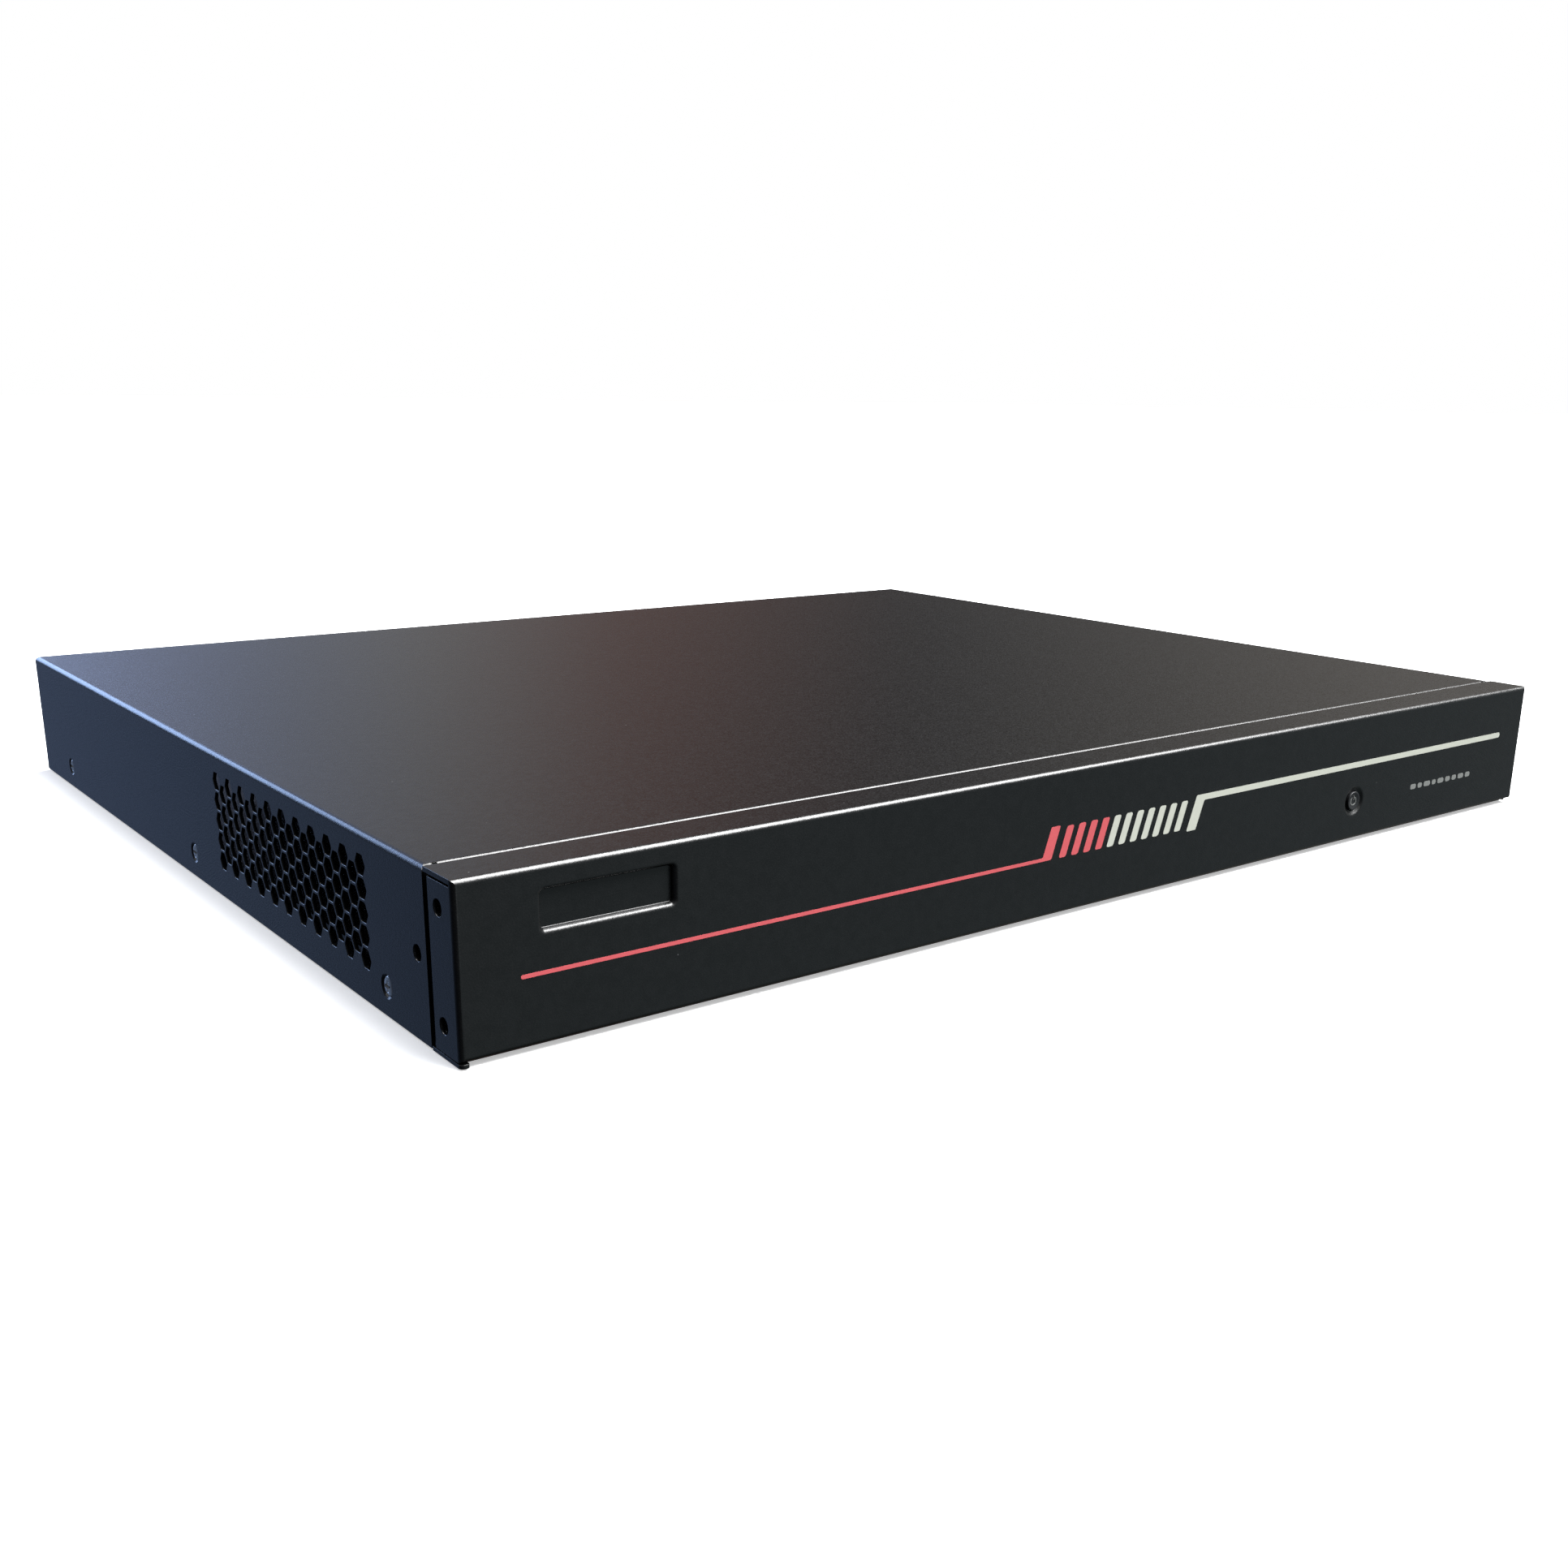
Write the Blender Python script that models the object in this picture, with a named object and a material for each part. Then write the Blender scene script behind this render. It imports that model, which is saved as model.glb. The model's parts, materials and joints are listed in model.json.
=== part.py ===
"""A one-unit rack firewall appliance: a folded steel tray and cover, a formed front panel with a push
button, and the electronics, fans and sockets inside.

Metres, +X to the right as seen from the front, +Y to the rear, +Z up. The origin is the middle of the
underside. Run it with blender --background --python part.py, or from the text editor.
"""

import math

import bmesh
import bpy
from mathutils import Matrix, Vector

# ---------------------------------------------------------------- driving dimensions
WIDTH, DEPTH, HEIGHT = 0.430, 0.360, 0.0436
SIDE, FRONT, REAR = WIDTH / 2, -DEPTH / 2, DEPTH / 2
SHEET = 0.0010  # steel of the cover, tray and rear panel
PANEL_SHEET = 0.0012  # steel of the front panel
GAP = 0.0003  # kept between any two pieces that touch

# The front panel is a shallow pan: a face with a flange folded back on each of its four sides.
PANEL_BOTTOM = SHEET + GAP
PANEL_BEND = 0.0013
TOP_FLANGE_END = FRONT + 0.0144
SIDE_FLANGE_END = FRONT + 0.0124
CORNER_SLIT = 0.0006

# The cover is a channel over the top and both sides.
COVER_FRONT, COVER_BEND, COVER_FOOT = FRONT + 0.0148, 0.0016, 0.0003
COVER_INSIDE = SIDE - SHEET
LIP_END, LIP_BEND = SIDE - 0.0042, 0.0013  # the cover's front edge is folded down, short of each side
UPSTAND = COVER_INSIDE - 0.0005  # outer face of the tray's folded sides
UPSTAND_TOP = 0.0125
REAR_FACE = REAR - 0.0022  # outer face of the rear panel

# Fixing points, as (y, z) on each side.
COVER_SCREWS = [(-0.1415, 0.0080), (0.0005, 0.0080), (0.1425, 0.0080)]
EAR_HOLES_PANEL = [(-0.1723, 0.0357), (-0.1723, 0.0080)]
EAR_HOLE_COVER = (-0.1602, 0.0218)
EAR_HOLE_RADIUS, TAPPED_RADIUS = 0.0022, 0.00165

# Side vents: a honeycomb of flat-topped hexagons, long columns of five between short columns of four.
VENT_PITCH, VENT_FLATS = 0.00595, 0.0051
VENT_START_Y, VENT_TOP_Z, VENT_LONG_COLUMNS, VENT_ROWS = -0.1300, 0.0354, 11, 5

# Front panel features.
RECESS_X, RECESS_Z, RECESS_DEPTH, RECESS_SLOPE = (-0.1948, -0.1576), (0.0277, 0.0385), 0.0015, 0.0011
BUTTON_X, BUTTON_Z = 0.1133, 0.0145
DIMPLE_RADIUS, DIMPLE_DEPTH, CAP_RADIUS, CAP_TRAVEL = 0.0053, 0.0009, 0.0032, 0.0012

# Cover screws: countersunk, with the shape of one as (radius, depth) pairs.
SCREW_HEAD, SCREW_SHANK, SCREW_LENGTH = 0.0029, 0.00145, 0.006
SCREW_PROFILE = [
    (0, 0.0001),
    (SCREW_HEAD, 0.0001),
    (SCREW_HEAD, 0.0003),
    (SCREW_SHANK, 0.0003 + SCREW_HEAD - SCREW_SHANK),
    (SCREW_SHANK, SCREW_LENGTH),
    (0, SCREW_LENGTH),
]

# Rear panel layout: the middle of each opening along X.
INLET_X, SWITCH_X, FAN_XS = 0.186, 0.158, (0.118, 0.072)
SFP_X, LAN_X, CONSOLE_X, USB_X = 0.026, -0.024, -0.080, -0.112
REAR_SLOTS, REAR_SLOT_X, REAR_SLOT_PITCH = 9, -0.1790, 0.0052
REAR_SCREW_XS, REAR_SCREW_Z = (-0.205, 0.0457, 0.205), 0.0385
GROUND_X, GROUND_Z, GROUND_SHANK = -0.200, 0.012, 0.0019

# Fans: a square frame, with a rotor of twisted blades on a hub.
FAN_SIZE, FAN_DEPTH, FAN_Z = 0.040, 0.020, 0.0218
FAN_REAR = REAR_FACE - SHEET - GAP
FAN_VENT_PITCH, FAN_VENT_FLATS, FAN_FIXING = 0.0082, 0.0070, 0.016
BLADES, HUB_RADIUS, BLADE_REACH, FAN_BORE = 7, 0.0085, 0.0178, 0.0189

# Mains socket and switch. The pins' places are (x, z) from the middle of the socket.
MAINS_Z = 0.021
INLET_PINS = {
    "inlet_pin_earth": (0, 0.0025),
    "inlet_pin_line": (0.007, -0.0022),
    "inlet_pin_neutral": (-0.007, -0.0022),
}
SWITCH_PIVOT, SWITCH_TILT = (SWITCH_X, REAR_FACE - 0.0042, MAINS_Z), math.radians(10)

# Main board on its standoffs.
BOARD_X, BOARD_Y, BOARD_Z, BOARD_SHEET = (-0.125, 0.045), (0.020, 0.1765), 0.0063, 0.0016
BOARD_TOP = BOARD_Z + BOARD_SHEET
PART_Z = BOARD_TOP + GAP  # where a piece stands on the board
BOARD_FIXINGS = [(-0.119, 0.026), (0.039, 0.026), (-0.119, 0.148), (0.036, 0.122)]
SUPPLY_X, SUPPLY_Y = (0.108, 0.204), (0.030, 0.128)

# Sockets on the main board, which reach out through the rear panel.
JACK_PITCH, JACK_WIDTH, JACK_DEPTH = 0.0140, 0.0118, 0.0140
PORT_REAR, PORT_GAP = REAR_FACE + 0.0004, 0.0005


# ---------------------------------------------------------------- building helpers
def clear_scene():
    for obj in list(bpy.data.objects):
        bpy.data.objects.remove(obj, do_unlink=True)


def paint(name, colour, roughness, metallic=0.0):
    """A Principled material of that colour."""
    made = bpy.data.materials.new(name)
    made.use_nodes = True
    shader = made.node_tree.nodes["Principled BSDF"]
    shader.inputs["Base Color"].default_value = (*colour, 1.0)
    shader.inputs["Roughness"].default_value = roughness
    shader.inputs["Metallic"].default_value = metallic
    return made


def place(name, bm, finish, location=(0, 0, 0), rotation=(0, 0, 0)):
    """Turns a bmesh into an object with one material."""
    bmesh.ops.recalc_face_normals(bm, faces=bm.faces)
    mesh = bpy.data.meshes.new(name)
    bm.to_mesh(mesh)
    bm.free()
    if finish:
        mesh.materials.append(finish)
    obj = bpy.data.objects.new(name, mesh)
    obj.location, obj.rotation_euler = location, rotation
    bpy.context.scene.collection.objects.link(obj)
    return obj


def cutter(bm, location=(0, 0, 0), rotation=(0, 0, 0)):
    """A hidden helper for a Boolean."""
    obj = place("cutter", bm, None, location, rotation)
    obj.hide_render, obj.display_type = True, "WIRE"
    return obj


def boolean(obj, operation, bm, location=(0, 0, 0), rotation=(0, 0, 0)):
    """Cuts or joins a shape that is given in the scene's own axes."""
    modifier = obj.modifiers.new(operation.lower(), "BOOLEAN")
    modifier.operation = operation
    modifier.object = cutter(bm, location, rotation)
    return obj


def cut(obj, bm, **where):
    return boolean(obj, "DIFFERENCE", bm, **where)


def join(obj, bm, **where):
    return boolean(obj, "UNION", bm, **where)


def on_axis(axis, u, v, along):
    """A point from its two coordinates across an axis and the one along it, in X, Y, Z order."""
    return {"X": (along, u, v), "Y": (u, along, v), "Z": (u, v, along)}[axis]


def prism(outline, axis, start, end, bm=None):
    """A straight prism of a closed outline of (u, v) points. It can be added to a bmesh."""
    bm = bm or bmesh.new()
    rings = [[bm.verts.new(on_axis(axis, u, v, at)) for u, v in outline] for at in (start, end)]
    bm.faces.new(rings[0])
    bm.faces.new(list(reversed(rings[1])))
    count = len(outline)
    for i in range(count):
        j = (i + 1) % count
        bm.faces.new((rings[0][i], rings[0][j], rings[1][j], rings[1][i]))
    return bm


def box(low, high, bm=None):
    """A box between two corners."""
    outline = [(low[0], low[1]), (high[0], low[1]), (high[0], high[1]), (low[0], high[1])]
    return prism(outline, "Z", low[2], high[2], bm)


def box_at(centre, size, bm=None):
    half = Vector(size) / 2
    return box(Vector(centre) - half, Vector(centre) + half, bm)


def ring_points(centre, radius, sides, turn=0.0):
    """The corners of a regular polygon."""
    angles = (turn + 2 * math.pi * i / sides for i in range(sides))
    return [(centre[0] + radius * math.cos(a), centre[1] + radius * math.sin(a)) for a in angles]


def rod(axis, centre, radius, start, end, sides=24, bm=None):
    """A round bar along an axis, centred on (u, v)."""
    return prism(ring_points(centre, radius, sides), axis, start, end, bm)


def turned(profile, sides=24):
    """A solid of revolution about Z, from (radius, height) pairs that start and end at radius 0."""
    bm = bmesh.new()
    rings = []
    for radius, height in profile:
        if radius == 0:
            rings.append([bm.verts.new((0, 0, height))])
        else:
            rings.append([bm.verts.new((x, y, height)) for x, y in ring_points((0, 0), radius, sides)])
    for lower, upper in zip(rings, rings[1:]):
        for i in range(sides):
            j = (i + 1) % sides
            corners = [lower[i % len(lower)], lower[j % len(lower)]]
            corners += [upper[j % len(upper)], upper[i % len(upper)]]
            bm.faces.new(list(dict.fromkeys(corners)))
    return bm


def arc(centre, radius, start, end, steps):
    """Points along an arc, with angles in degrees."""
    angles = (math.radians(start + (end - start) * i / steps) for i in range(steps + 1))
    return [(centre[0] + radius * math.cos(a), centre[1] + radius * math.sin(a)) for a in angles]


def rounded_rectangle(x, z, radius, steps=3):
    """The outline of a rectangle with round corners, between x[0] and x[1], and z[0] and z[1]."""
    corners = [(x[1], z[1], 0), (x[0], z[1], 90), (x[0], z[0], 180), (x[1], z[0], 270)]
    points = []
    for cx, cz, start in corners:
        inward = (cx - math.copysign(radius, cx - sum(x) / 2), cz - math.copysign(radius, cz - sum(z) / 2))
        points += arc(inward, radius, start, start + 90, steps)
    return points


def loft(outlines, axis, stations):
    """A closed shape through outlines of equal length, one at each station along an axis."""
    bm = bmesh.new()
    rings = [[bm.verts.new(on_axis(axis, u, v, at)) for u, v in o] for o, at in zip(outlines, stations)]
    bm.faces.new(rings[0])
    bm.faces.new(list(reversed(rings[-1])))
    for lower, upper in zip(rings, rings[1:]):
        for i in range(len(lower)):
            j = (i + 1) % len(lower)
            bm.faces.new((lower[i], lower[j], upper[j], upper[i]))
    return bm


def smooth_path(points, per_leg):
    """A Catmull-Rom curve through the points."""
    padded = [2 * points[0] - points[1], *points, 2 * points[-1] - points[-2]]
    found = []
    for a, b, c, d in zip(padded, padded[1:], padded[2:], padded[3:]):
        for i in range(per_leg):
            t = i / per_leg
            bend, twist = 2 * a - 5 * b + 4 * c - d, 3 * b - a - 3 * c + d
            found.append((2 * b + (c - a) * t + bend * t**2 + twist * t**3) / 2)
    return [*found, points[-1]]


def cable(name, points, radius, finish, per_leg=3):
    """A flexible lead along a smooth route, as a tube with capped ends."""
    route = smooth_path([Vector(p) for p in points], per_leg)
    curve = bpy.data.curves.new(name, "CURVE")
    curve.dimensions, curve.bevel_depth, curve.bevel_resolution, curve.use_fill_caps = "3D", radius, 1, True
    spline = curve.splines.new("POLY")
    spline.points.add(len(route) - 1)
    for point, at in zip(spline.points, route):
        point.co = (*at, 1.0)
    curve.materials.append(finish)
    obj = bpy.data.objects.new(name, curve)
    bpy.context.scene.collection.objects.link(obj)
    return obj


def smooth(obj, degrees=30):
    """Shades a round piece smooth, keeping its sharp edges."""
    obj.data.shade_smooth()
    obj.data.set_sharp_from_angle(angle=math.radians(degrees))
    return obj


# ---------------------------------------------------------------- casing
def honeycomb(centres, flats):
    """The outlines of flat-topped hexagons around (u, v) centres."""
    return [ring_points(c, flats / math.sqrt(3), 6) for c in centres]


def side_vent_centres():
    """Long columns of holes with short columns nested between them."""
    step = VENT_PITCH * math.sqrt(3) / 2
    centres = []
    for column in range(2 * VENT_LONG_COLUMNS - 1):
        short = column % 2
        for row in range(VENT_ROWS - short):
            centres.append((VENT_START_Y + column * step, VENT_TOP_Z - (row + short / 2) * VENT_PITCH))
    return centres


def channel(half_width, top, foot, bend, sheet, start, end):
    """A folded channel, open below, running along Y."""
    inner = bend - sheet
    outside = [(half_width, foot), *arc((half_width - bend, top - bend), bend, 0, 90, 4)]
    inside = [(half_width - sheet, foot), *arc((half_width - bend, top - bend), inner, 0, 90, 4)]
    right = outside + [(-x, z) for x, z in reversed(outside)]
    left = [(-x, z) for x, z in inside] + list(reversed(inside))
    return prism(right + left, "Y", start, end)


def countersink(side, y, z, clearance):
    """The shape that a flat-headed side screw needs."""
    profile = [(radius + clearance, h) for radius, h in SCREW_PROFILE[1:-1]]
    deepest = SCREW_PROFILE[-1][1] + clearance
    profile = [(0, -0.001), (profile[0][0], -0.001), *profile[:-1], (profile[-1][0], deepest), (0, deepest)]
    return turned(profile, 16), (side * SIDE, y, z), (0, -side * math.pi / 2, 0)


def make_top_cover(finish):
    cover = place(
        "top_cover", channel(SIDE, HEIGHT, COVER_FOOT, COVER_BEND, SHEET, COVER_FRONT, REAR), finish
    )
    bodies = bmesh.new()
    box((-LIP_END, COVER_FRONT, HEIGHT - 0.007), (LIP_END, COVER_FRONT + SHEET, HEIGHT - SHEET / 2), bodies)
    for x in REAR_SCREW_XS:
        tab = REAR_FACE - SHEET - GAP
        box((x - 0.005, tab - SHEET, HEIGHT - 0.010), (x + 0.005, tab, HEIGHT - SHEET / 2), bodies)
    join(cover, bodies)
    # The front fold is rounded, and a notch at each end let the sheet fold.
    centre = (COVER_FRONT + LIP_BEND, HEIGHT - LIP_BEND)
    outside = [(COVER_FRONT - 0.001, HEIGHT + 0.001), (COVER_FRONT - 0.001, HEIGHT - LIP_BEND)]
    rounding = [*outside, *arc(centre, LIP_BEND, 180, 90, 4), (COVER_FRONT + LIP_BEND, HEIGHT + 0.001)]
    cut(cover, prism(rounding, "X", -SIDE - 0.001, SIDE + 0.001))
    notches = bmesh.new()
    for side in (-1, 1):
        notch = sorted((side * LIP_END, side * (LIP_END + 0.0013)))
        low = (notch[0], COVER_FRONT - 0.001, HEIGHT - 0.008)
        box(low, (notch[1], COVER_FRONT + 0.0011, HEIGHT + 0.001), notches)
    cut(cover, notches)
    tapped = bmesh.new()
    for x in REAR_SCREW_XS:
        rod("Y", (x, REAR_SCREW_Z), SCREW_SHANK + GAP, REAR_FACE - 0.006, REAR_FACE, 12, tapped)
    cut(cover, tapped)
    vents = bmesh.new()
    for outline in honeycomb(side_vent_centres(), VENT_FLATS):
        for side in (-1, 1):
            prism(outline, "X", side * (COVER_INSIDE - 0.002), side * (SIDE + 0.002), vents)
    for side in (-1, 1):
        y, z = EAR_HOLE_COVER
        rod("X", (y, z), EAR_HOLE_RADIUS, side * (COVER_INSIDE - 0.002), side * (SIDE + 0.002), 16, vents)
    cut(cover, vents)
    for side in (-1, 1):
        for y, z in COVER_SCREWS:
            shape, location, rotation = countersink(side, y, z, GAP)
            cut(cover, shape, location=location, rotation=rotation)
    return cover


def make_base_tray(finish):
    """The floor with folded sides. Its left front corner runs out in a tab under the front panel."""
    floor_front, tab = FRONT + 0.0035, 0.0024
    neck = COVER_FRONT - 0.0005
    outline = [
        (-SIDE + tab, floor_front),
        (-SIDE + tab, FRONT + 0.0006),
        (-SIDE + tab - 0.0006, FRONT + 0.0001),
        (-SIDE + 0.0008, FRONT + 0.0001),
        (-SIDE, FRONT + 0.0010),
        (-SIDE, neck),
        (-UPSTAND, neck),
        (-UPSTAND, REAR_FACE),
        (UPSTAND, REAR_FACE),
        (UPSTAND, neck),
        (SIDE, neck),
        (SIDE, floor_front + 0.0010),
        (SIDE - 0.0010, floor_front),
    ]
    tray = place("base_tray", prism(outline, "Z", 0, SHEET), finish)
    sides = bmesh.new()
    post_front, post_rear, post_top = FRONT + 0.0018, COVER_FRONT + 0.012, 0.0405
    side_profile = [
        (post_front, SHEET / 2),
        (post_front, post_top),
        (post_rear, post_top),
        (post_rear, UPSTAND_TOP),
        (REAR_FACE - 0.012, UPSTAND_TOP),
        (REAR_FACE - 0.012, SHEET / 2),
    ]
    for side in (-1, 1):
        prism(side_profile, "X", side * (UPSTAND - SHEET), side * UPSTAND, sides)
    join(tray, sides)
    holes = bmesh.new()
    for side in (-1, 1):
        through = (side * (UPSTAND - 0.004), side * (UPSTAND + 0.004))
        for at in [*EAR_HOLES_PANEL, EAR_HOLE_COVER]:
            rod("X", at, TAPPED_RADIUS, *through, 12, holes)
        for at in COVER_SCREWS:
            rod("X", at, SCREW_SHANK + GAP, *through, 16, holes)
    return cut(tray, holes)


def pan(bend, sheet):
    """The front panel's pan: a box rounded along its front edges, hollowed from behind."""
    low, high = Vector((-SIDE, FRONT, PANEL_BOTTOM)), Vector((SIDE, TOP_FLANGE_END, HEIGHT))
    bm = box(low, high)
    front = [e for e in bm.edges if all(abs(v.co.y - FRONT) < 1e-6 for v in e.verts)]
    bmesh.ops.bevel(bm, geom=front, offset=bend, segments=3, profile=0.5, affect="EDGES")
    inset = Vector((sheet, sheet, sheet))
    return bm, box(low + inset, high - inset + Vector((0, 0.01, 0)))


def make_front_panel(finish):
    outer, inner = pan(PANEL_BEND, PANEL_SHEET)
    panel = place("front_panel", outer, finish)
    cut(panel, inner)
    # The side and bottom flanges are shorter than the top one. The bottom one ends inside the tray's posts.
    beyond, post_side = TOP_FLANGE_END + 0.001, UPSTAND + 0.0002
    below_top = HEIGHT - PANEL_SHEET
    cut(panel, box((-SIDE - 0.001, SIDE_FLANGE_END, PANEL_BOTTOM - 0.001), (SIDE + 0.001, beyond, below_top)))
    notches, slits = bmesh.new(), bmesh.new()
    for side in (-1, 1):
        notch = sorted((side * (UPSTAND - SHEET - 0.0005), side * post_side))
        low = (notch[0], FRONT + 0.0016, PANEL_BOTTOM - 0.001)
        box(low, (notch[1], beyond, PANEL_BOTTOM + 0.002), notches)
        # A slit parts each side flange from the top one.
        slit = sorted((side * (SIDE - PANEL_SHEET - 0.0002), side * (SIDE + 0.001)))
        box((slit[0], FRONT + PANEL_BEND, below_top - CORNER_SLIT), (slit[1], beyond, below_top), slits)
    cut(panel, notches)
    cut(panel, slits)
    ear_holes = bmesh.new()
    for side in (-1, 1):
        for y, z in EAR_HOLES_PANEL:
            rod("X", (y, z), EAR_HOLE_RADIUS, side * (SIDE - 0.004), side * (SIDE + 0.004), 16, ear_holes)
    cut(panel, ear_holes)
    # The stamped label recess: a backing pad, then a sloping pocket into it.
    pad = 0.0008
    x, z = (RECESS_X[0] - pad, RECESS_X[1] + pad), (RECESS_Z[0] - pad, RECESS_Z[1] + pad)
    back = FRONT + PANEL_SHEET
    join(panel, prism(rounded_rectangle(x, z, 0.002), "Y", back - 0.0004, back + RECESS_DEPTH))
    mouth = rounded_rectangle(RECESS_X, RECESS_Z, 0.0016)
    slope = RECESS_SLOPE
    floor = rounded_rectangle(
        (RECESS_X[0] + slope, RECESS_X[1] - slope), (RECESS_Z[0] + slope, RECESS_Z[1] - slope), 0.0006
    )
    over = rounded_rectangle(
        (RECESS_X[0] - 0.0007, RECESS_X[1] + 0.0007), (RECESS_Z[0] - 0.0007, RECESS_Z[1] + 0.0007), 0.0021
    )
    cut(panel, loft([over, mouth, floor], "Y", [FRONT - 0.001, FRONT, FRONT + RECESS_DEPTH]))
    # The dimple around the button, with the button's hole through it.
    centre = (BUTTON_X, BUTTON_Z)
    join(panel, rod("Y", centre, DIMPLE_RADIUS + 0.0006, back - 0.0004, back + DIMPLE_DEPTH, 32))
    rims = [DIMPLE_RADIUS + 0.001, DIMPLE_RADIUS, DIMPLE_RADIUS - 0.0009]
    dimple = [ring_points(centre, r, 32) for r in rims]
    cut(panel, loft(dimple, "Y", [FRONT - 0.001, FRONT, FRONT + DIMPLE_DEPTH]))
    cut(panel, rod("Y", centre, CAP_RADIUS + GAP, FRONT - 0.001, FRONT + 0.005, 32))
    return panel


def fan_vent_centres(x):
    """Hexagon centres within the circle that a fan blows through."""
    step, reach = FAN_VENT_PITCH * math.sqrt(3) / 2, 0.0196 - FAN_VENT_FLATS / 2
    centres = []
    for column in range(-4, 5):
        for row in range(-4, 5):
            u, v = column * step, (row + column % 2 / 2) * FAN_VENT_PITCH
            if math.hypot(u, v) < reach:
                centres.append((x + u, FAN_Z + v))
    return centres


def rear_openings():
    """The (x, half width, lowest z, highest z) of each rectangular opening, with its clearance."""
    mains = (MAINS_Z - 0.0098, MAINS_Z + 0.0098)
    return [
        (LAN_X, (4 * JACK_PITCH + 0.001) / 2, PART_Z, PART_Z + 0.0265, PORT_GAP),
        (CONSOLE_X, (2 * JACK_PITCH + 0.001) / 2, PART_Z, PART_Z + 0.0135, PORT_GAP),
        (USB_X, 0.0072, PART_Z, PART_Z + 0.0158, PORT_GAP),
        (SFP_X, 0.0151, PART_Z, PART_Z + 0.0102, PORT_GAP),
        (INLET_X, 0.0134, *mains, GAP),
        (SWITCH_X, 0.0065, *mains, GAP),
    ]


def make_rear_panel(finish):
    """The rear wall with its inward flanges, cut for every socket."""
    edge, top = UPSTAND, HEIGHT - SHEET - GAP
    wall = box((-edge, REAR_FACE - SHEET, SHEET + GAP), (edge, REAR_FACE, top))
    panel = place("rear_panel", wall, finish)
    flange = bmesh.new()
    flange_front, flange_top = REAR_FACE - 0.010, SHEET + GAP + SHEET
    beside_fans = (FAN_XS[-1] - FAN_SIZE / 2 - 0.003, FAN_XS[0] + FAN_SIZE / 2 + 0.003)
    for low, high in ((-edge + 0.004, beside_fans[0]), (beside_fans[1], edge - 0.004)):
        box((low, flange_front, SHEET + GAP), (high, REAR_FACE - SHEET / 2, flange_top), flange)
    for side in (-1, 1):
        at = sorted((side * (edge - SHEET), side * edge))
        box((at[0], flange_front, 0.004), (at[1], REAR_FACE - SHEET / 2, 0.030), flange)
    join(panel, flange)
    openings = bmesh.new()
    past = (REAR_FACE - SHEET - 0.002, REAR_FACE + 0.002)
    for x, half, low_z, high_z, gap in rear_openings():
        box((x - half - gap, past[0], low_z - gap), (x + half + gap, past[1], high_z + gap), openings)
    for x in FAN_XS:
        for outline in honeycomb(fan_vent_centres(x), FAN_VENT_FLATS):
            prism(outline, "Y", *past, openings)
        for side in (-1, 1):
            rod("Y", (x + side * FAN_FIXING, FAN_Z + side * FAN_FIXING), 0.0018, *past, 12, openings)
    for i in range(REAR_SLOTS):
        x = REAR_SLOT_X + i * REAR_SLOT_PITCH
        slot = rounded_rectangle((x - 0.0014, x + 0.0014), (0.010, 0.034), 0.0013, 2)
        prism(slot, "Y", *past, openings)
    for x in REAR_SCREW_XS:
        rod("Y", (x, REAR_SCREW_Z), SCREW_SHANK + GAP, *past, 16, openings)
    rod("Y", (GROUND_X, GROUND_Z), GROUND_SHANK + GAP, *past, 16, openings)
    return cut(panel, openings)


# ---------------------------------------------------------------- fasteners
def cross_recess(start, end, reach, thick):
    """A plus-shaped cutter along Z."""
    a, b = thick / 2, reach
    half = [(a, a), (a, b), (-a, b), (-a, a), (-b, a), (-b, -a)]
    outline = half + [(-x, -z) for x, z in half]
    return prism(outline, "Z", start, end)


def make_cover_screws(finish):
    for label, side in (("left", -1), ("right", 1)):
        for number, (y, z) in enumerate(COVER_SCREWS, 1):
            where = {"location": (side * SIDE, y, z), "rotation": (0, -side * math.pi / 2, 0)}
            screw = place(f"cover_screw_{label}_{number}", turned(SCREW_PROFILE, 16), finish, **where)
            cut(smooth(screw), cross_recess(-0.001, 0.0015, 0.0016, 0.0007), **where)


def pan_head(name, finish, x, z, radius, shank, length, location_y):
    """A domed screw put in from behind the appliance, its head on the rear panel."""
    dome = [(0, -0.0018), (radius * 0.72, -0.0016), (radius, -0.0009), (radius, 0)]
    profile = [*dome, (shank, 0), (shank, length), (0, length)]
    where = {"location": (x, location_y, z), "rotation": (math.pi / 2, 0, 0)}
    screw = place(name, turned(profile, 16), finish, **where)
    return cut(smooth(screw), cross_recess(-0.003, -0.0007, 0.0014, 0.0006), **where)


def make_rear_screws(finish, brass):
    on_panel = REAR_FACE + GAP
    for number, x in enumerate(REAR_SCREW_XS, 1):
        pan_head(f"rear_screw_{number}", finish, x, REAR_SCREW_Z, 0.0027, SCREW_SHANK, 0.006, on_panel)
    pan_head("ground_screw", brass, GROUND_X, GROUND_Z, 0.0038, GROUND_SHANK, 0.008, on_panel)


def make_board_supports(nylon):
    """Snap-in posts on the floor, each with its head through the board."""
    neck, shoulder, lift = 0.0014, 0.0030, SHEET + GAP
    profile = [
        (0, lift),
        (shoulder, lift),
        (shoulder, BOARD_Z - GAP),
        (neck, BOARD_Z - GAP),
        (neck, PART_Z),
        (0.0023, PART_Z),
        (0.0010, PART_Z + 0.0024),
        (0, PART_Z + 0.0024),
    ]
    for number, (x, y) in enumerate(BOARD_FIXINGS, 1):
        smooth(place(f"board_support_{number}", turned(profile, 12), nylon, location=(x, y, 0)))


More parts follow.
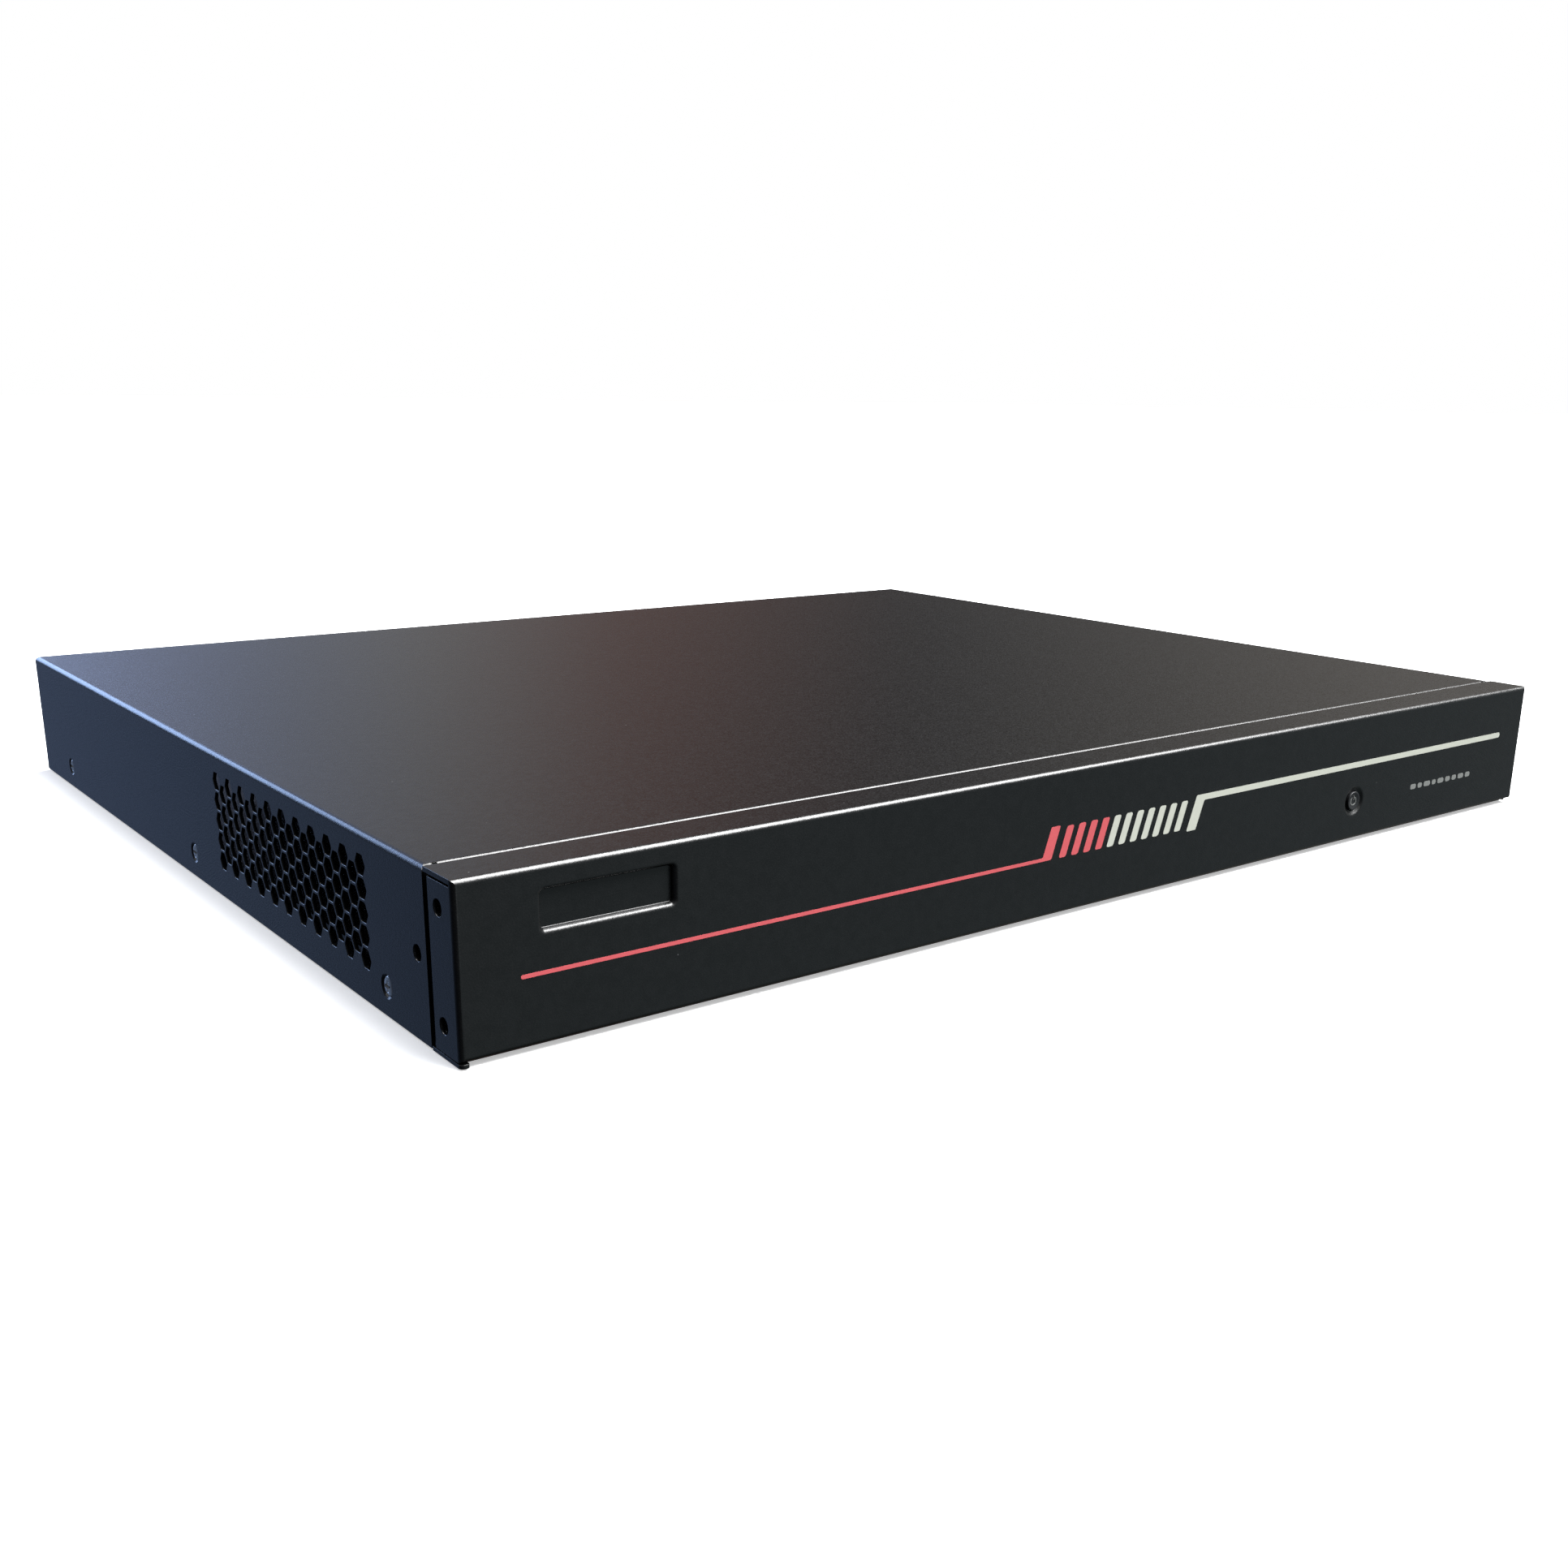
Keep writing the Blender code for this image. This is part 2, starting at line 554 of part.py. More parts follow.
def make_fan_screws(finish):
    """Two screws hold each fan, corner to corner."""
    for number, x in enumerate(FAN_XS, 1):
        for corner, side in (("upper", 1), ("lower", -1)):
            at = (x + side * FAN_FIXING, FAN_Z + side * FAN_FIXING)
            pan_head(f"fan_screw_{number}_{corner}", finish, *at, 0.0030, 0.0015, 0.010, REAR_FACE + GAP)


# ---------------------------------------------------------------- front controls
def make_front_controls(black, board, metal, steel):
    """The button's cap with its retaining collar, and the switch that it presses."""
    collar_y, tip_y = FRONT + DIMPLE_DEPTH + PANEL_SHEET + GAP, FRONT + 0.0075
    collar = 0.0042
    dish = [(0, 0.0004), (0.0016, 0.0003), (CAP_RADIUS - 0.0006, 0)]
    dish += [(CAP_RADIUS - 0.0002, 0.00008), (CAP_RADIUS, 0.0003)]
    back = [(CAP_RADIUS, collar_y - FRONT), (collar, collar_y - FRONT), (collar, collar_y - FRONT + 0.0012)]
    stem = [(0.0018, collar_y - FRONT + 0.0012), (0.0018, tip_y - FRONT), (0, tip_y - FRONT)]
    at_button = {"location": (BUTTON_X, FRONT, BUTTON_Z), "rotation": (-math.pi / 2, 0, 0)}
    smooth(place("power_button", turned(dish + back + stem, 24), black, **at_button))
    plunger = [(0, 0.0078), (0.0017, 0.0078), (0.0017, 0.0116), (0, 0.0116)]
    smooth(place("switch_plunger", turned(plunger, 20), metal, **at_button))
    switch = box_at((BUTTON_X, FRONT + 0.0120, BUTTON_Z), (0.0062, 0.0048, 0.0062))
    switch = place("button_switch", switch, black)
    cut(switch, rod("Y", (BUTTON_X, BUTTON_Z), 0.0017 + GAP, FRONT + 0.009, FRONT + 0.0134, 20))
    low = (BUTTON_X - 0.013, FRONT + 0.0147, BUTTON_Z - 0.009)
    place("button_board", box(low, (BUTTON_X + 0.017, FRONT + 0.0163, BUTTON_Z + 0.009)), board)
    back, floor = FRONT + 0.0163 + GAP, SHEET + GAP
    angle = [
        (back, floor),
        (back + 0.016, floor),
        (back + 0.016, floor + SHEET),
        (back + SHEET, floor + SHEET),
        (back + SHEET, BUTTON_Z + 0.008),
        (back, BUTTON_Z + 0.008),
    ]
    place("button_bracket", prism(angle, "X", BUTTON_X - 0.012, BUTTON_X + 0.006), steel)


# ---------------------------------------------------------------- electronics
def make_main_board(finish):
    low, high = (BOARD_X[0], BOARD_Y[0], BOARD_Z), (BOARD_X[1], BOARD_Y[1], BOARD_TOP)
    board = place("main_board", box(low, high), finish)
    holes = bmesh.new()
    for x, y in BOARD_FIXINGS:
        rod("Z", (x, y), 0.0017, BOARD_Z - 0.001, BOARD_TOP + 0.001, 12, holes)
    return cut(board, holes)


def make_processor(chip, metal):
    """The processor under a finned heat sink."""
    x, y = -0.032, 0.092
    place("processor", box_at((x, y, PART_Z + 0.0013), (0.035, 0.035, 0.0026)), chip)
    base, length, width, fins = PART_Z + 0.0026 + GAP, 0.072, 0.078, 17
    sink = place("processor_heat_sink", box_at((x, y, base + 0.002), (width, length, 0.004)), metal)
    blades = bmesh.new()
    for i in range(fins):
        at = x - width / 2 + 0.0005 + i * (width - 0.001) / (fins - 1)
        box_at((at, y, base + 0.0145), (0.001, length, 0.023), blades)
    join(sink, blades)


def make_memory(black, board):
    """A laptop-sized memory module lying in its socket."""
    x, y, z = -0.101, 0.082, PART_Z
    socket = place("memory_socket", box_at((x - 0.014, y, z + 0.0024), (0.006, 0.074, 0.0048)), black)
    slot = z + 0.0021
    cut(socket, box((x - 0.0125, y - 0.0345, slot - 0.0009), (x, y + 0.0345, slot + 0.0009)))
    low, high = (x - 0.0122, y - 0.0338, slot - 0.0006), (x + 0.018, y + 0.0338, slot + 0.0006)
    place("memory_module", box(low, high), board)


def make_storage(steel, metal):
    """A solid-state drive on a bracket that stands on the floor."""
    x, y, floor = (0.092, 0.162), (-0.128, -0.028), SHEET + GAP
    foot, lift = 0.008, 0.006
    profile = [
        (x[0] - foot, floor),
        (x[0] - 0.0012, floor),
        (x[0] - 0.0012, floor + lift - 0.001),
        (x[1] + 0.0012, floor + lift - 0.001),
        (x[1] + 0.0012, floor),
        (x[1] + foot, floor),
        (x[1] + foot, floor + 0.001),
        (x[1] + 0.0022, floor + 0.001),
        (x[1] + 0.0022, floor + lift),
        (x[0] - 0.0022, floor + lift),
        (x[0] - 0.0022, floor + 0.001),
        (x[0] - foot, floor + 0.001),
    ]
    place("drive_bracket", prism(profile, "Y", y[0] + 0.004, y[1] - 0.004), steel)
    bottom = floor + lift + GAP
    place("storage_drive", box((x[0], y[0], bottom), (x[1], y[1], bottom + 0.007)), metal)


# ---------------------------------------------------------------- power
def make_power_supply(board, black, metal, wrap):
    """An open-frame supply on its own board, held up on the floor's standoffs."""
    low, high = (SUPPLY_X[0], SUPPLY_Y[0], BOARD_Z), (SUPPLY_X[1], SUPPLY_Y[1], BOARD_TOP)
    place("supply_board", box(low, high), board)
    middle = (0.150, 0.078, PART_Z + 0.013)
    core = place("supply_transformer", box_at(middle, (0.030, 0.026, 0.026)), wrap)
    join(core, box_at(middle, (0.020, 0.036, 0.020)))
    smooth(place("supply_capacitor", rod("Z", (0.186, 0.100), 0.0120, PART_Z, PART_Z + 0.030, 24), black))
    sink = place("supply_heat_sink", box((0.112, 0.036, PART_Z), (0.116, 0.118, PART_Z + 0.026)), metal)
    fins = bmesh.new()
    for i in range(9):
        y = 0.040 + i * 0.0092
        box((0.115, y, PART_Z), (0.125, y + 0.0012, PART_Z + 0.026), fins)
    join(sink, fins)


def inlet_outline(width, height, corner):
    """The socket's outline: a rectangle with its two upper corners cut off."""
    w, h = width / 2, height / 2
    points = [(w, -h), (w, h - corner), (w - corner, h), (-w + corner, h), (-w, h - corner), (-w, -h)]
    return [(INLET_X + x, MAINS_Z + z) for x, z in points]


def make_inlet(black, brass):
    """The mains socket: a flanged moulding with three blades standing in it."""
    across, up = (INLET_X - 0.015, INLET_X + 0.015), (MAINS_Z - 0.0115, MAINS_Z + 0.0115)
    flange = rounded_rectangle(across, up, 0.002)
    face = REAR_FACE + GAP
    inlet = place("power_inlet", prism(flange, "Y", face, face + 0.0016), black)
    join(inlet, prism(inlet_outline(0.0268, 0.0196, 0.0045), "Y", REAR_FACE - 0.022, face + 0.0008))
    cut(inlet, prism(inlet_outline(0.0242, 0.0162, 0.0042), "Y", REAR_FACE - 0.0165, face + 0.004))
    for name, (x, z) in INLET_PINS.items():
        centre = (INLET_X + x, REAR_FACE - 0.0102, MAINS_Z + z)
        place(name, box_at(centre, (0.002, 0.012, 0.004)), brass)


def make_power_switch(black):
    """A rocker that tips about X in its housing. It rests with its top pressed in."""
    half_w, half_h, face = 0.0065, 0.0098, REAR_FACE + GAP
    across, up = (SWITCH_X - 0.0078, SWITCH_X + 0.0078), (MAINS_Z - 0.0112, MAINS_Z + 0.0112)
    rim = rounded_rectangle(across, up, 0.0012)
    housing = place("power_switch_housing", prism(rim, "Y", face, face + 0.0012), black)

    def block(half_w, half_h, start, end):
        return box((SWITCH_X - half_w, start, MAINS_Z - half_h), (SWITCH_X + half_w, end, MAINS_Z + half_h))

    join(housing, block(half_w, half_h, REAR_FACE - 0.016, face + 0.0005))
    well = (half_w - 0.0011, half_h - 0.0011)
    cut(housing, block(*well, REAR_FACE - 0.0105, face + 0.004))
    # The rocker's profile in (y, z) about its pivot: a shallow vee of two faces over a rounded back.
    rise, reach, heel = 0.0046, 0.0078, 0.0040
    back = arc((0, 0.0), heel, 250, 110, 6)
    upper = [(rise - 0.0010, 0), (rise, reach), (rise - 0.0030, reach)]
    profile = [(rise - 0.0030, -reach), (rise, -reach), *upper, *reversed(back)]
    rocker = prism(profile, "X", -well[0] + GAP, well[0] - GAP)
    place("power_switch_rocker", rocker, black, location=SWITCH_PIVOT, rotation=(SWITCH_TILT, 0, 0))


# ---------------------------------------------------------------- cooling
def fan_blade(turn):
    """One twisted blade, from inside the hub to its tip, about the fan's Y axis."""
    sections = []
    for radius, pitch in ((HUB_RADIUS - 0.001, 52), (0.013, 42), (BLADE_REACH, 33)):
        a = math.radians(pitch)
        along = Vector((math.cos(a), math.sin(a))) * 0.0052
        across = Vector((-math.sin(a), math.cos(a))) * 0.0004
        corners = [along + across, across - along, -along - across, along - across]
        sections.append([(radius, c.x, c.y) for c in corners])
    bm = bmesh.new()
    spin = Matrix.Rotation(turn, 4, "Y")
    rings = [[bm.verts.new(spin @ Vector((r, y, z))) for r, z, y in s] for s in sections]
    bm.faces.new(rings[0])
    bm.faces.new(list(reversed(rings[-1])))
    for lower, upper in zip(rings, rings[1:]):
        for i in range(4):
            j = (i + 1) % 4
            bm.faces.new((lower[i], lower[j], upper[j], upper[i]))
    return bm


def make_fans(black):
    """Two axial fans against the rear panel. Each rotor turns about Y in its frame."""
    for number, x in enumerate(FAN_XS, 1):
        centre, front = (x, FAN_Z), FAN_REAR - FAN_DEPTH
        half = FAN_SIZE / 2
        frame = place(
            f"fan_frame_{number}",
            box((x - half, front, FAN_Z - half), (x + half, FAN_REAR, FAN_Z + half)),
            black,
        )
        cut(frame, rod("Y", centre, FAN_BORE, front - 0.001, FAN_REAR + 0.001, 32))
        holes = bmesh.new()
        for dx in (-1, 1):
            for dz in (-1, 1):
                at = (x + dx * FAN_FIXING, FAN_Z + dz * FAN_FIXING)
                rod("Y", at, 0.0018, front - 0.001, FAN_REAR + 0.001, 12, holes)
        cut(frame, holes)
        # The motor stands on four arms across the front of the bore.
        arms = rod("Y", centre, HUB_RADIUS, front, front + 0.0022, 24)
        join(frame, arms)
        for turn in (math.pi / 4, -math.pi / 4):
            arm = box_at((0, 0, 0), (2 * FAN_BORE + 0.002, 0.0018, 0.0022))
            join(frame, arm, location=(x, front + 0.0009, FAN_Z), rotation=(0, turn, 0))
        middle = front + 0.0114
        profile = [(0, -0.0085), (HUB_RADIUS, -0.0085), (HUB_RADIUS, 0.0068)]
        hub = turned([*profile, (HUB_RADIUS - 0.001, 0.0078), (0, 0.0078)], 28)
        bmesh.ops.rotate(hub, verts=hub.verts, matrix=Matrix.Rotation(-math.pi / 2, 3, "X"))
        rotor = place(f"fan_rotor_{number}", hub, black, location=(x, middle, FAN_Z))
        for i in range(BLADES):
            join(rotor, fan_blade(2 * math.pi * i / BLADES), location=(x, middle, FAN_Z))
        smooth(rotor)


# ---------------------------------------------------------------- sockets
def jack_outline(x, z, latch):
    """A telephone-type socket: a wide body with a stepped notch for the latch, above (1) or below (-1)."""
    half = [(JACK_WIDTH / 2, -0.0034), (JACK_WIDTH / 2, 0.0034), (0.0031, 0.0034)]
    half += [(0.0031, 0.0050), (0.0016, 0.0050), (0.0016, 0.0060)]
    shape = half + [(-u, v) for u, v in reversed(half)]
    return [(x + u, z + latch * v) for u, v in shape]


def make_jacks(name, centre_x, columns, rows, finish):
    """A block of sockets, each row with its latches to the outside."""
    half, height = (columns * JACK_PITCH + 0.001) / 2, 0.0135 if rows == 1 else 0.0265
    low = (centre_x - half, REAR_FACE - 0.0215, PART_Z)
    block = place(name, box(low, (centre_x + half, PORT_REAR, PART_Z + height)), finish)
    cavities = bmesh.new()
    for column in range(columns):
        x = centre_x + (column - (columns - 1) / 2) * JACK_PITCH
        for row in range(rows):
            latch = 1 if row == rows - 1 else -1
            z = PART_Z + (0.0056 if rows == 1 else 0.0083 + row * 0.0100)
            prism(jack_outline(x, z, latch), "Y", PORT_REAR - JACK_DEPTH, PORT_REAR + 0.001, cavities)
    return cut(block, cavities)


def make_usb(shell):
    """Two stacked sockets, each with its tongue."""
    def block_of(half, start, end, low_z, high_z, bm=None):
        return box((USB_X - half, start, low_z), (USB_X + half, end, high_z), bm)

    shape = block_of(0.0072, REAR_FACE - 0.0165, PORT_REAR, PART_Z, PART_Z + 0.0158)
    block = place("usb_ports", shape, shell)
    cavities, tongues = bmesh.new(), bmesh.new()
    for z in (PART_Z + 0.0040, PART_Z + 0.0118):
        block_of(0.0063, PORT_REAR - 0.0105, PORT_REAR + 0.001, z - 0.0026, z + 0.0026, cavities)
        block_of(0.0052, PORT_REAR - 0.0110, PORT_REAR - 0.0018, z + 0.0002, z + 0.0020, tongues)
    cut(block, cavities)
    return join(block, tongues)


def make_sfp(shell):
    """Two side-by-side cages for pluggable optics."""
    pitch, half_w, high_z = 0.0150, 0.0151, PART_Z + 0.0102
    low = (SFP_X - half_w, REAR_FACE - 0.048, PART_Z)
    cage = place("sfp_cages", box(low, (SFP_X + half_w, PORT_REAR, high_z)), shell)
    cavities = bmesh.new()
    for side in (-0.5, 0.5):
        x = SFP_X + side * pitch
        low = (x - 0.0070, PORT_REAR - 0.0450, PART_Z + 0.0006)
        box(low, (x + 0.0070, PORT_REAR + 0.001, high_z - 0.0006), cavities)
    return cut(cage, cavities)


# ---------------------------------------------------------------- wiring
def mains_leads(jacket):
    """The leads from the mains socket and the switch to the power supply."""
    inlet_route = [
        (INLET_X, 0.1545, MAINS_Z),
        (0.186, 0.148, 0.024),
        (0.180, 0.140, 0.030),
        (0.172, 0.132, 0.030),
        (0.168, 0.124, 0.022),
        (0.168, 0.120, 0.012),
    ]
    switch_route = [
        (SWITCH_X, 0.1610, MAINS_Z),
        (0.157, 0.152, 0.021),
        (0.150, 0.142, 0.018),
        (0.145, 0.132, 0.014),
        (0.143, 0.122, 0.012),
    ]
    cable("mains_lead", inlet_route, 0.0018, jacket)
    cable("switch_lead", switch_route, 0.0018, jacket)


def board_leads(jacket, pale):
    """The leads from the main board to the power supply, the drive and the button."""
    supply_route = [
        (0.106, 0.060, 0.012),
        (0.096, 0.058, 0.013),
        (0.078, 0.052, 0.016),
        (0.060, 0.046, 0.018),
        (0.046, 0.042, 0.016),
        (0.036, 0.042, 0.010),
    ]
    drive_route = [
        (0.100, -0.0265, 0.011),
        (0.096, -0.014, 0.011),
        (0.078, 0.000, 0.010),
        (0.050, 0.010, 0.011),
        (0.026, 0.018, 0.013),
        (0.018, 0.028, 0.010),
    ]
    button_route = [
        (0.124, -0.1622, 0.012),
        (0.118, -0.154, 0.011),
        (0.090, -0.140, 0.006),
        (0.060, -0.090, 0.0045),
        (0.036, -0.030, 0.0045),
        (0.010, 0.005, 0.008),
        (0.002, 0.022, 0.013),
        (0.000, 0.030, 0.010),
    ]
    cable("board_power_lead", supply_route, 0.0025, jacket)
    cable("drive_lead", drive_route, 0.0020, pale)
    cable("button_lead", button_route, 0.0014, pale)


def fan_leads(jacket):
    for number, x in enumerate(FAN_XS, 1):
        start, end = FAN_REAR - FAN_DEPTH - 0.0005, 0.088 + 0.012 * number
        points = [
            (x - 0.012, start, 0.006),
            (x - 0.015, start - 0.010, 0.006),
            (0.072 - 0.010 * number, 0.132, 0.006),
            (0.062 - 0.006 * number, end + 0.008, 0.009),
            (0.046, end, 0.013),
            (0.036, end, 0.010),
        ]
        cable(f"fan_lead_{number}", points, 0.0012, jacket)


def make_cables(jacket, pale):
    """The leads between the boards. Every one lies inside the casing."""
    mains_leads(jacket)
    board_leads(jacket, pale)
    fan_leads(jacket)


def build():
    clear_scene()
    casing = paint("black powder coat", (0.018, 0.019, 0.021), 0.55)
    plated = paint("bright zinc", (0.62, 0.62, 0.60), 0.30, 1.0)
    brass = paint("brass", (0.70, 0.52, 0.24), 0.32, 1.0)
    aluminium = paint("aluminium", (0.66, 0.67, 0.68), 0.38, 1.0)
    plastic = paint("black plastic", (0.015, 0.015, 0.016), 0.45)
    board = paint("green board", (0.012, 0.085, 0.045), 0.50)
    chip = paint("chip package", (0.030, 0.030, 0.032), 0.40)
    jacket = paint("black cable jacket", (0.020, 0.020, 0.022), 0.50)
    pale = paint("grey cable jacket", (0.35, 0.35, 0.36), 0.50)
    wrap = paint("yellow tape", (0.70, 0.52, 0.10), 0.45)
    nylon = paint("white nylon", (0.72, 0.72, 0.68), 0.45)
    make_base_tray(casing)
    make_top_cover(casing)
    make_front_panel(casing)
    make_rear_panel(casing)
    make_cover_screws(plated)
    make_rear_screws(plated, brass)
    make_board_supports(nylon)
    make_fan_screws(plated)
    make_front_controls(plastic, board, aluminium, plated)
    make_main_board(board)
    make_processor(chip, aluminium)
    make_memory(plastic, board)
    make_storage(plated, aluminium)
    make_power_supply(board, plastic, aluminium, wrap)
    make_inlet(plastic, brass)
    make_power_switch(plastic)
    make_fans(plastic)
    make_jacks("lan_ports", LAN_X, 4, 2, plated)
    make_jacks("console_ports", CONSOLE_X, 2, 1, plated)
    make_usb(plated)
    make_sfp(plated)
    make_cables(jacket, pale)


build()
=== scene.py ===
"""The finished look of the rack firewall appliance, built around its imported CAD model.

Metres, in the CAD frame: +X to the right seen from the front, +Y to the rear, +Z up, origin in the middle of
the underside.
"""

import json
import math

import bmesh
import bpy
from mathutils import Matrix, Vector


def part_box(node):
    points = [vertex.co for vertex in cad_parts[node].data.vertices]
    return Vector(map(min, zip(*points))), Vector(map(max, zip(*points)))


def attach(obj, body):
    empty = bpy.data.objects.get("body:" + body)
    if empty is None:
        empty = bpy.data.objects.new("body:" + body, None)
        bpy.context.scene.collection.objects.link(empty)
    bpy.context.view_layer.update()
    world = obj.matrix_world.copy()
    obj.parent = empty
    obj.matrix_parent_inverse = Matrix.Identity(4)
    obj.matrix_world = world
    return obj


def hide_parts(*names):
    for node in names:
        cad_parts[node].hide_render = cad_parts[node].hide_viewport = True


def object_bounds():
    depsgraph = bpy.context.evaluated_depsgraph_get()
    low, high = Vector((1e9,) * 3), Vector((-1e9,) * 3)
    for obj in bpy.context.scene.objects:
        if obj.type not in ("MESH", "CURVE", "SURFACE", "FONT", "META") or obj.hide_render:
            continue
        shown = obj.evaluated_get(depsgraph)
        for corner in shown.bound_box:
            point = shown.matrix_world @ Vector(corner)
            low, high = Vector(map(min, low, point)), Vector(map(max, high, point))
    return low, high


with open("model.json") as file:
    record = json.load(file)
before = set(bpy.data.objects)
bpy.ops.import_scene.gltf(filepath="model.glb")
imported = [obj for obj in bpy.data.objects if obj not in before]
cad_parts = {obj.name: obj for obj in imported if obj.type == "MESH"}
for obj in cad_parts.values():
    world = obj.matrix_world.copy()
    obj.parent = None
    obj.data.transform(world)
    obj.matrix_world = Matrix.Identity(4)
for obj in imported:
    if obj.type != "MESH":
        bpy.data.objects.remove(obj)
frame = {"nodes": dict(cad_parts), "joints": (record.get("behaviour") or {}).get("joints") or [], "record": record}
CAD_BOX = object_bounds()

# ---------------------------------------------------------------- dimensions
LOW, HIGH = CAD_BOX
SIDE, FRONT, REAR, TOP = HIGH[0], LOW[1], HIGH[1], HIGH[2]
SHEET = 0.0010
PANEL_LOW, PANEL_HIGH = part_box("front_panel")
COVER_LOW, COVER_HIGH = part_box("top_cover")
SIDE_FLANGE_END = FRONT + 0.0124
PANEL_SHEET, PANEL_BEND, SLIT = 0.0012, 0.0014, 0.0006
PANEL_FACE = 0.0022  # the face is thicker, to take the recess
COVER_FRONT, COVER_BEND, FOLD_BEND, FOLD_END = COVER_LOW[1], 0.0017, 0.0018, SIDE - 0.0042
FOLD_DROP, FOLD_NOTCH = 0.007, 0.0013
UPSTAND, POST_TOP, UPSTAND_TOP, POST_DEPTH = SIDE - SHEET - 0.0005, 0.0405, 0.0125, 0.012

# Fixing holes in each side, as (y, z).
EAR_HOLES_PANEL = [(-0.1723, 0.0357), (-0.1723, 0.0080)]
EAR_HOLE_COVER = (-0.1602, 0.0218)
EAR_HOLE_RADIUS, TAPPED_RADIUS, HOLE_LIP = 0.0020, 0.00165, 0.00025

# Side vents: a honeycomb of flat-topped hexagons, long columns of five between short columns of four.
VENT_PITCH, VENT_FLATS = 0.00595, 0.0051
VENT_START_Y, VENT_TOP_Z, VENT_LONG_COLUMNS, VENT_ROWS = -0.1300, 0.0354, 11, 5

# The stamped label recess and the button's dimple.
RECESS_X, RECESS_Z, RECESS_DEPTH = (-0.1949, -0.1574), (0.0272, 0.0389), 0.0017
RECESS_LIP, RECESS_FOOT, RECESS_WALL = 0.0013, 0.0002, 84
DIMPLE_RADIUS, DIMPLE_DEPTH = 0.0055, 0.0009
DIMPLE_LIP, DIMPLE_FOOT, DIMPLE_WALL = 0.0013, 0.0004, 34
CAP_LOW, CAP_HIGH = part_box("power_button")
BUTTON_X, BUTTON_Z = (CAP_LOW[0] + CAP_HIGH[0]) / 2, (CAP_LOW[2] + CAP_HIGH[2]) / 2
CAP_RADIUS = 0.0032

# The printed stripe: a thin red line, leaning bars and a thicker white line, with one long bar at each join.
INK, INK_CORNER = 0.00004, 0.0003
RED_LINE, WHITE_LINE = (0.0180, 0.0190), (0.0262, 0.0281)
LINE_ENDS = (-0.1994, 0.2005)
BAR_FEET, BAR_PITCH, BAR_WIDTH, BAR_LEAN = -0.0290, 0.00496, 0.0028, 0.0030
BAR_Z, RED_BARS, WHITE_BARS = (0.0180, 0.0271), 4, 7
RED_FOOT, RED_WIDTH, RED_LEAN, RED_TOP = -0.0358, 0.0037, 0.0032, 0.0276
WHITE_FOOT, WHITE_WIDTH, WHITE_LEAN, WHITE_BOTTOM = 0.0266, 0.0043, 0.0036, 0.0172

# The row of plain marks to the right of the button.
MARKS_START, MARKS_Z, MARK_GAP = 0.1462, (0.0139, 0.0157), 0.0011
MARK_WIDTHS = (0.0034, 0.0026, 0.0040, 0.0024, 0.0038, 0.0030, 0.0028, 0.0036, 0.0030)

# The 8-way sockets: gold contacts, and a lamp window at each side of the latch.
CONTACTS, CONTACT_PITCH, CONTACT_WIDTH, CONTACT_RISE = 8, 0.00102, 0.00044, 0.0026
LAMP_OFFSET, LAMP_SIZE = 0.0045, (0.0020, 0.0012)


# ---------------------------------------------------------------- mesh helpers
def on_axis(axis, u, v, along):
    """A point from its two coordinates across an axis and the one along it, in X, Y, Z order."""
    return {"X": (along, u, v), "Y": (u, along, v), "Z": (u, v, along)}[axis]


def loft(outlines, axis, stations, bm=None):
    """A closed shape through outlines of equal length, one at each station along an axis."""
    bm = bm or bmesh.new()
    rings = [[bm.verts.new(on_axis(axis, u, v, at)) for u, v in o] for o, at in zip(outlines, stations)]
    bm.faces.new(rings[0])
    bm.faces.new(list(reversed(rings[-1])))
    for lower, upper in zip(rings, rings[1:]):
        for i in range(len(lower)):
            j = (i + 1) % len(lower)
            bm.faces.new((lower[i], lower[j], upper[j], upper[i]))
    return bm


def prism(outline, axis, start, end, bm=None):
    return loft([outline, outline], axis, (start, end), bm)


def box(low, high, bm=None):
    outline = [(low[0], low[1]), (high[0], low[1]), (high[0], high[1]), (low[0], high[1])]
    return prism(outline, "Z", low[2], high[2], bm)


def arc(centre, radius, start, end, steps):
    """Points along an arc, with angles in degrees."""
    angles = (math.radians(start + (end - start) * i / steps) for i in range(steps + 1))
    return [(centre[0] + radius * math.cos(a), centre[1] + radius * math.sin(a)) for a in angles]


def ring_points(centre, radius, sides):
    return arc(centre, radius, 0, 360 * (sides - 1) / sides, sides - 1)


def rod(axis, centre, radius, start, end, sides=48, bm=None):
    return prism(ring_points(centre, radius, sides), axis, start, end, bm)


def rounded_rectangle(x, z, radius, steps=8):
    """The outline of a rectangle with round corners, between x[0] and x[1], and z[0] and z[1]."""
    corners = [(x[1], z[1], 0), (x[0], z[1], 90), (x[0], z[0], 180), (x[1], z[0], 270)]
    points = []
    for cx, cz, start in corners:
        inward = (
            cx - math.copysign(radius, cx - sum(x) / 2),
            cz - math.copysign(radius, cz - sum(z) / 2),
        )
        points += arc(inward, radius, start, start + 90, steps)
    return points


def turned(profile, sides=64):
    """A solid of revolution about Z, from (radius, height) pairs that start and end at radius 0."""
    bm = bmesh.new()
    rings = []
    for radius, height in profile:
        points = ring_points((0, 0), radius, sides) if radius else [(0, 0)]
        rings.append([bm.verts.new((x, y, height)) for x, y in points])
    for lower, upper in zip(rings, rings[1:]):
        for i in range(sides):
            j = (i + 1) % sides
            corners = [lower[i % len(lower)], lower[j % len(lower)]]
            corners += [upper[j % len(upper)], upper[i % len(upper)]]
            bm.faces.new(list(dict.fromkeys(corners)))
    return bm


